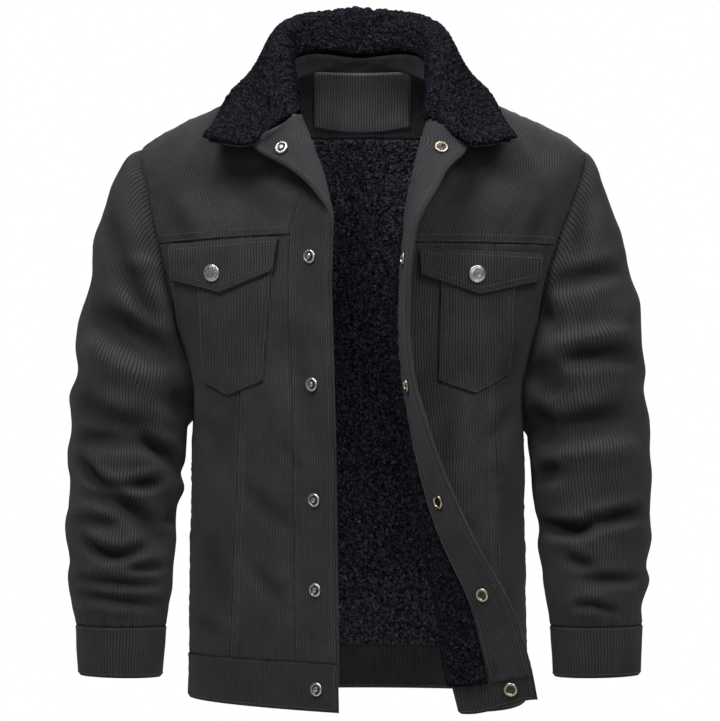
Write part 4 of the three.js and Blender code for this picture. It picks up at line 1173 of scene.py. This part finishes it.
def armhole_ring(side):
    """The seam line round the armhole, a little inside its edge."""
    ring = []
    middle, half = (UNDERARM_Z + TIP_Z) / 2, (TIP_Z - UNDERARM_Z) / 2
    for angle in ANGLES:
        front = angle <= math.pi
        z = middle + half * math.cos(angle)
        level = TIP if math.cos(angle) > 0.9999 else level_at_side(z)
        part = ("front" if front else "back") + side.capitalize()
        under = max(-math.cos(angle), 0)
        inside = 2 * SEAM + 2.5 * under
        distance = ARMHOLE_REACH * abs(math.sin(angle)) - inside * math.sin(angle) ** 2
        lift = -0.014 * math.cos(angle) + 0.03 * under
        ring.append(spots(part, level + lift, np.array([max(distance, 0)]))[0])
    return np.array(ring)


def tube(side, sign, ring, stops):
    """Places round a sleeve at stops along it. It leaves the armhole's ring, and lies beside the body."""
    grid = []
    for u in stops:
        row = sleeve_row(side, u)
        inner_x, inner_z = abs(pick(SLEEVES[side], "inX", u)), pick(SLEEVES[side], "inZ", u)
        beside = pick(LEVELS, "half" + side.capitalize(), level_at_side(inner_z)) - 3.0
        lean = max(inner_x - beside, 0) * ease(u / 0.8) * ease((HANG[side] + 16 + inner_z) / 16)
        row[:, 0] -= sign * lean * np.clip(-np.cos(ANGLES), 0, 1) ** 1.5
        grid.append(row + (ring - sleeve_row(side, 0)) * (1 - ease(u / 4)))
    return np.array(grid)


def round_pattern(grid, wales):
    """Pattern of a tube that has a whole number of wales round it."""
    return np.stack([np.tile(ANGLES / (2 * math.pi) * WALE * wales, (len(grid), 1)), -rims(grid)[2]], -1)


def sew_round(outer, n, k, inset):
    sew_grid(np.hstack([outer, outer[:, :1]]), np.hstack([n, n[:, :1]]), k, inset, skip=0)


for side, sign in (("right", -1), ("left", 1)):
    ring = armhole_ring(side)
    stops = np.concatenate([[0, 0.03, 0.07, 0.13], np.linspace(0.2, 17.8, 146), [17.88, 17.94, 17.988]])
    grid = tube(side, sign, ring, stops)
    n = outward(grid, sign, ring=True)
    top, bottom = rims(grid)[2:]
    pattern = round_pattern(grid, 116)
    calm = (ease(stops / 1.6) * ease((SLEEVE_END - stops) / 0.9))[:, None]
    x, z = grid[..., 0], grid[..., 2]
    front, rear = [np.clip(way * n[..., 1] * 1.5 - 0.05, 0, 1) ** 0.7 for way in (-1, 1)]
    relief = -fold_depth(SLEEVE_FOLDS[side], x, z, 1.9, 1.2) * calm * front
    rear_z = z + 14 + 0.12 * (z + 300)
    relief -= fold_depth(SLEEVE_FOLDS[side], x * 0.98 - 4 * sign, rear_z, 1.2, 0.7) * calm * rear
    relief += calm * (0.9 * ripple((x + 0.3 * z * sign) / 34, z / 26, 5) + 0.35 * ripple(x / 13, z / 11, 8))
    relief -= 0.9 * bell(top, 1.4) + 0.9 * bell(bottom, 1.4)
    inward = grid[0].mean(0) - np.array([sign * 60, 0, 0]) - grid[0]
    grid[0] += inward / np.linalg.norm(inward, axis=1, keepdims=True) * 3.4
    drift = 2 * ripple(ANGLES[None, :] * 2, bottom / 30, 3)
    relief += 0.55 * np.exp(-bottom / 16) * np.sin(ANGLES[None, :] * 19 + drift)
    relief += 1.6 * ease(stops / 0.6)[:, None]
    # Painted light and shade follow the relief: the sleeve's colour is darker in its folds, lighter on its
    # ridges, and a fixed step darker all over.
    outer, _ = cloth("sleeve_" + side, grid, n, relief, relief - CLOTH, pattern, ring=True,
                     tone=relief - 2.4)
    sew_round(outer, n, 2, 2.2)
    stops = np.concatenate([[18.012, 18.04, 18.08], np.linspace(18.15, 19.9, 22), [19.94, 19.97, CUFF_END]])
    grid = tube(side, sign, ring, stops)
    n = outward(grid, sign, ring=True)
    top, bottom = rims(grid)[2:]
    relief = 0.3 * ripple(ANGLES[None, :] * 5 + 0 * top, top / 18, 13) - 0.7 * bell(top, 1.3)
    curve = 1.9 * bell(bottom, 1.8)
    low = 2.2 - DOUBLE_CLOTH + relief * 0.5 + curve
    # Painted shade: the cuff's colour is darker at its sunk top seam and a fixed step darker all over.
    outer, _ = cloth("cuff_" + side, grid, n, 2.2 + relief - curve, low, round_pattern(grid, 88), ring=True,
                     tone=relief - 1.0)
    for k, inset in ((2, 2.2), (3, 4.0)):
        sew_round(outer, n, k, inset)
    stitched("sleeve_topstitching_" + side)

# Snap fasteners: pressed nickel plated brass, set through the cloth
# The right front has studs, the left front sockets with a cap outside, and each flap a larger cap.
NICKEL, tree, shader = new_material("bright_nickel_plate", 0.5)
tarnish = object_noise(tree, 420.0, Detail=3.0)
tree.links.new(blend(tree, tarnish, "#a19c94", "#dad8d3"), shader.inputs["Base Color"])
tree.links.new(remap(tree, tarnish, 0.3, 0.7, 0.22, 0.42), shader.inputs["Roughness"])
shader.inputs["Metallic"].default_value = 1.0
BRASS = recoloured(NICKEL, "worn_plate_over_brass", "#8d7f66", "#c9c1ae")
# Painted shade: a darker copy of the plate for the faces inside each stud's and socket's recess.
RECESS = recoloured(NICKEL, "shaded_plate_in_recess", "#2a2724", "#57534d")
SNAP_RADIUS, FLAP_SNAP_RADIUS = 7.25, 9.2


def press(name, radius, height, rings, outside):
    """A pressed round part: a disc whose face is inset and moved ring by ring."""
    bpy.ops.object.select_all(action="DESELECT")
    bpy.ops.mesh.primitive_cylinder_add(vertices=36, radius=radius * MM, depth=height * MM,
                                        location=(0, 0, height * MM / 2))
    piece = bpy.context.object
    piece.name = name
    bpy.ops.object.transform_apply(location=True, rotation=True, scale=True)
    bpy.ops.object.mode_set(mode="EDIT")
    bpy.ops.mesh.select_mode(type="FACE")
    bpy.ops.mesh.select_all(action="DESELECT")
    bpy.ops.object.mode_set(mode="OBJECT")
    top = max(piece.data.polygons, key=lambda face: face.center.z)
    top.select = True
    bpy.ops.object.mode_set(mode="EDIT")
    for inset, move in rings:
        bpy.ops.mesh.inset(thickness=inset * MM, depth=0)
        bpy.ops.transform.translate(value=(0, 0, move * MM))
    bpy.ops.object.mode_set(mode="OBJECT")
    piece.data.materials.append(outside)
    piece.data.materials.append(RECESS)
    bevel = piece.modifiers.new("soft_edge", "BEVEL")
    bevel.width = 0.25 * MM
    bevel.segments = 2
    bevel.limit_method = "ANGLE"
    bpy.ops.object.modifier_apply(modifier=bevel.name)
    bpy.ops.object.shade_smooth_by_angle(angle=math.radians(38))
    return piece

stud = press("stud_master", SNAP_RADIUS, 1.5,
             [(0.7, 0.75), (1.5, 0.1), (0.5, -1.3), (1.2, 0.0), (0.5, 1.5), (0.9, 0.4)], NICKEL)
socket = press("socket_master", SNAP_RADIUS, 1.4,
               [(0.7, 0.7), (1.4, 0.1), (0.5, -1.5), (2.6, 0.0), (0.4, 0.3)], BRASS)
cap = press("cap_master", SNAP_RADIUS, 1.5,
            [(0.5, 0.5), (1.5, 0.35), (1.2, 0.12), (0.5, -0.25), (0.6, 0.2)], NICKEL)
big_cap = press("flap_cap_master", FLAP_SNAP_RADIUS, 1.6,
                [(0.6, 0.6), (1.0, 0.25), (0.5, -0.3), (0.6, 0.35), (2.2, 0.25), (1.6, -0.45), (1.0, -0.1)],
                NICKEL)
for master, low, high in ((stud, 2.6, 4.4), (socket, 0.0, 4.6)):
    for face in master.data.polygons:
        r = math.hypot(face.center.x, face.center.y) / MM
        if low < r < high and face.center.z > 0.2 * MM:
            face.material_index = 1


def fasten(name, master, place, n, seat_at):
    """Set a copy of a pressed part at a place, facing along n, its foot at a height over the cloth."""
    mesh = master.data.copy()
    mesh.name = name
    piece = bpy.data.objects.new(name, mesh)
    bpy.context.scene.collection.objects.link(piece)
    turn = Vector((0, 0, 1)).rotation_difference(Vector(n)).to_matrix().to_4x4()
    turn.translation = Vector((place + n * seat_at) * MM)
    mesh.transform(turn)
    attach(piece, CARRIER)
    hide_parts(name)


def cloth_place(part, t, distance):
    """A place on the cloth and the direction out of it."""
    p = spots(part, t, np.array([distance]))[0]
    length = total(part, t)
    ends = np.array([max(distance - 1.5, 0), min(distance + 1.5, length)])
    along = np.diff(spots(part, t, ends), axis=0)[0]
    high, low = min(t + 0.02, NECK), max(t - 0.02, 0)
    up = spots(part, high, np.array([distance]))[0] - spots(part, low, np.array([distance]))[0]
    n = np.cross(along, up)
    n /= np.linalg.norm(n)
    return p, n if part.endswith("Right") != part.startswith("back") else -n


def placket_place(part, z):
    low, high = 0.0, float(NECK)
    for _ in range(30):
        middle = (low + high) / 2
        at = spots(part, middle, np.array([total(part, middle) - PLACKET_WIDTH / 2]))[0]
        low, high = (middle, high) if at[2] < z else (low, middle)
    t = (low + high) / 2
    return cloth_place(part, t, total(part, t) - PLACKET_WIDTH / 2)


SKIN = FACING_GAP + 2 * CLOTH
STUD_HEIGHTS = -60, -172, -306, -427, -521, -625
SOCKET_HEIGHTS = -60, -175, -306, -427, -523, -623
for i, z in enumerate(STUD_HEIGHTS):
    p, n = placket_place("frontRight", z)
    place, way, seat_at = (p, n, 0.4) if i else (p - n * SKIN, -n, 1.0)
    fasten("stud_right_%d" % (i + 1), stud, place, way, seat_at)
for i, z in enumerate(SOCKET_HEIGHTS):
    p, n = placket_place("frontLeft", z)
    skin = DOUBLE_CLOTH if i == 5 else SKIN
    fasten("socket_left_%d" % (i + 1), socket, p - n * skin, -n, 0.5)
    fasten("snap_cap_left_%d" % (i + 1), cap, p, n, 0.7)
for name, part, sign, x, z in (("flap_cap_right", "frontRight", -1, -154.5, -188),
                               ("flap_cap_left", "frontLeft", 1, 122.5, -189)):
    around = seats(part, np.array([[x - 2, x, x + 2]] * 3), np.array([[z + 2] * 3, [z] * 3, [z - 2] * 3]))
    n = np.cross(around[1, 2] - around[1, 0], around[0, 1] - around[2, 1])
    n /= np.linalg.norm(n)
    n = n if n[1] < 0 else -n
    fasten(name, big_cap, around[1, 1], n, 5.6)
for master in (stud, socket, cap, big_cap):
    bpy.data.objects.remove(master, do_unlink=True)
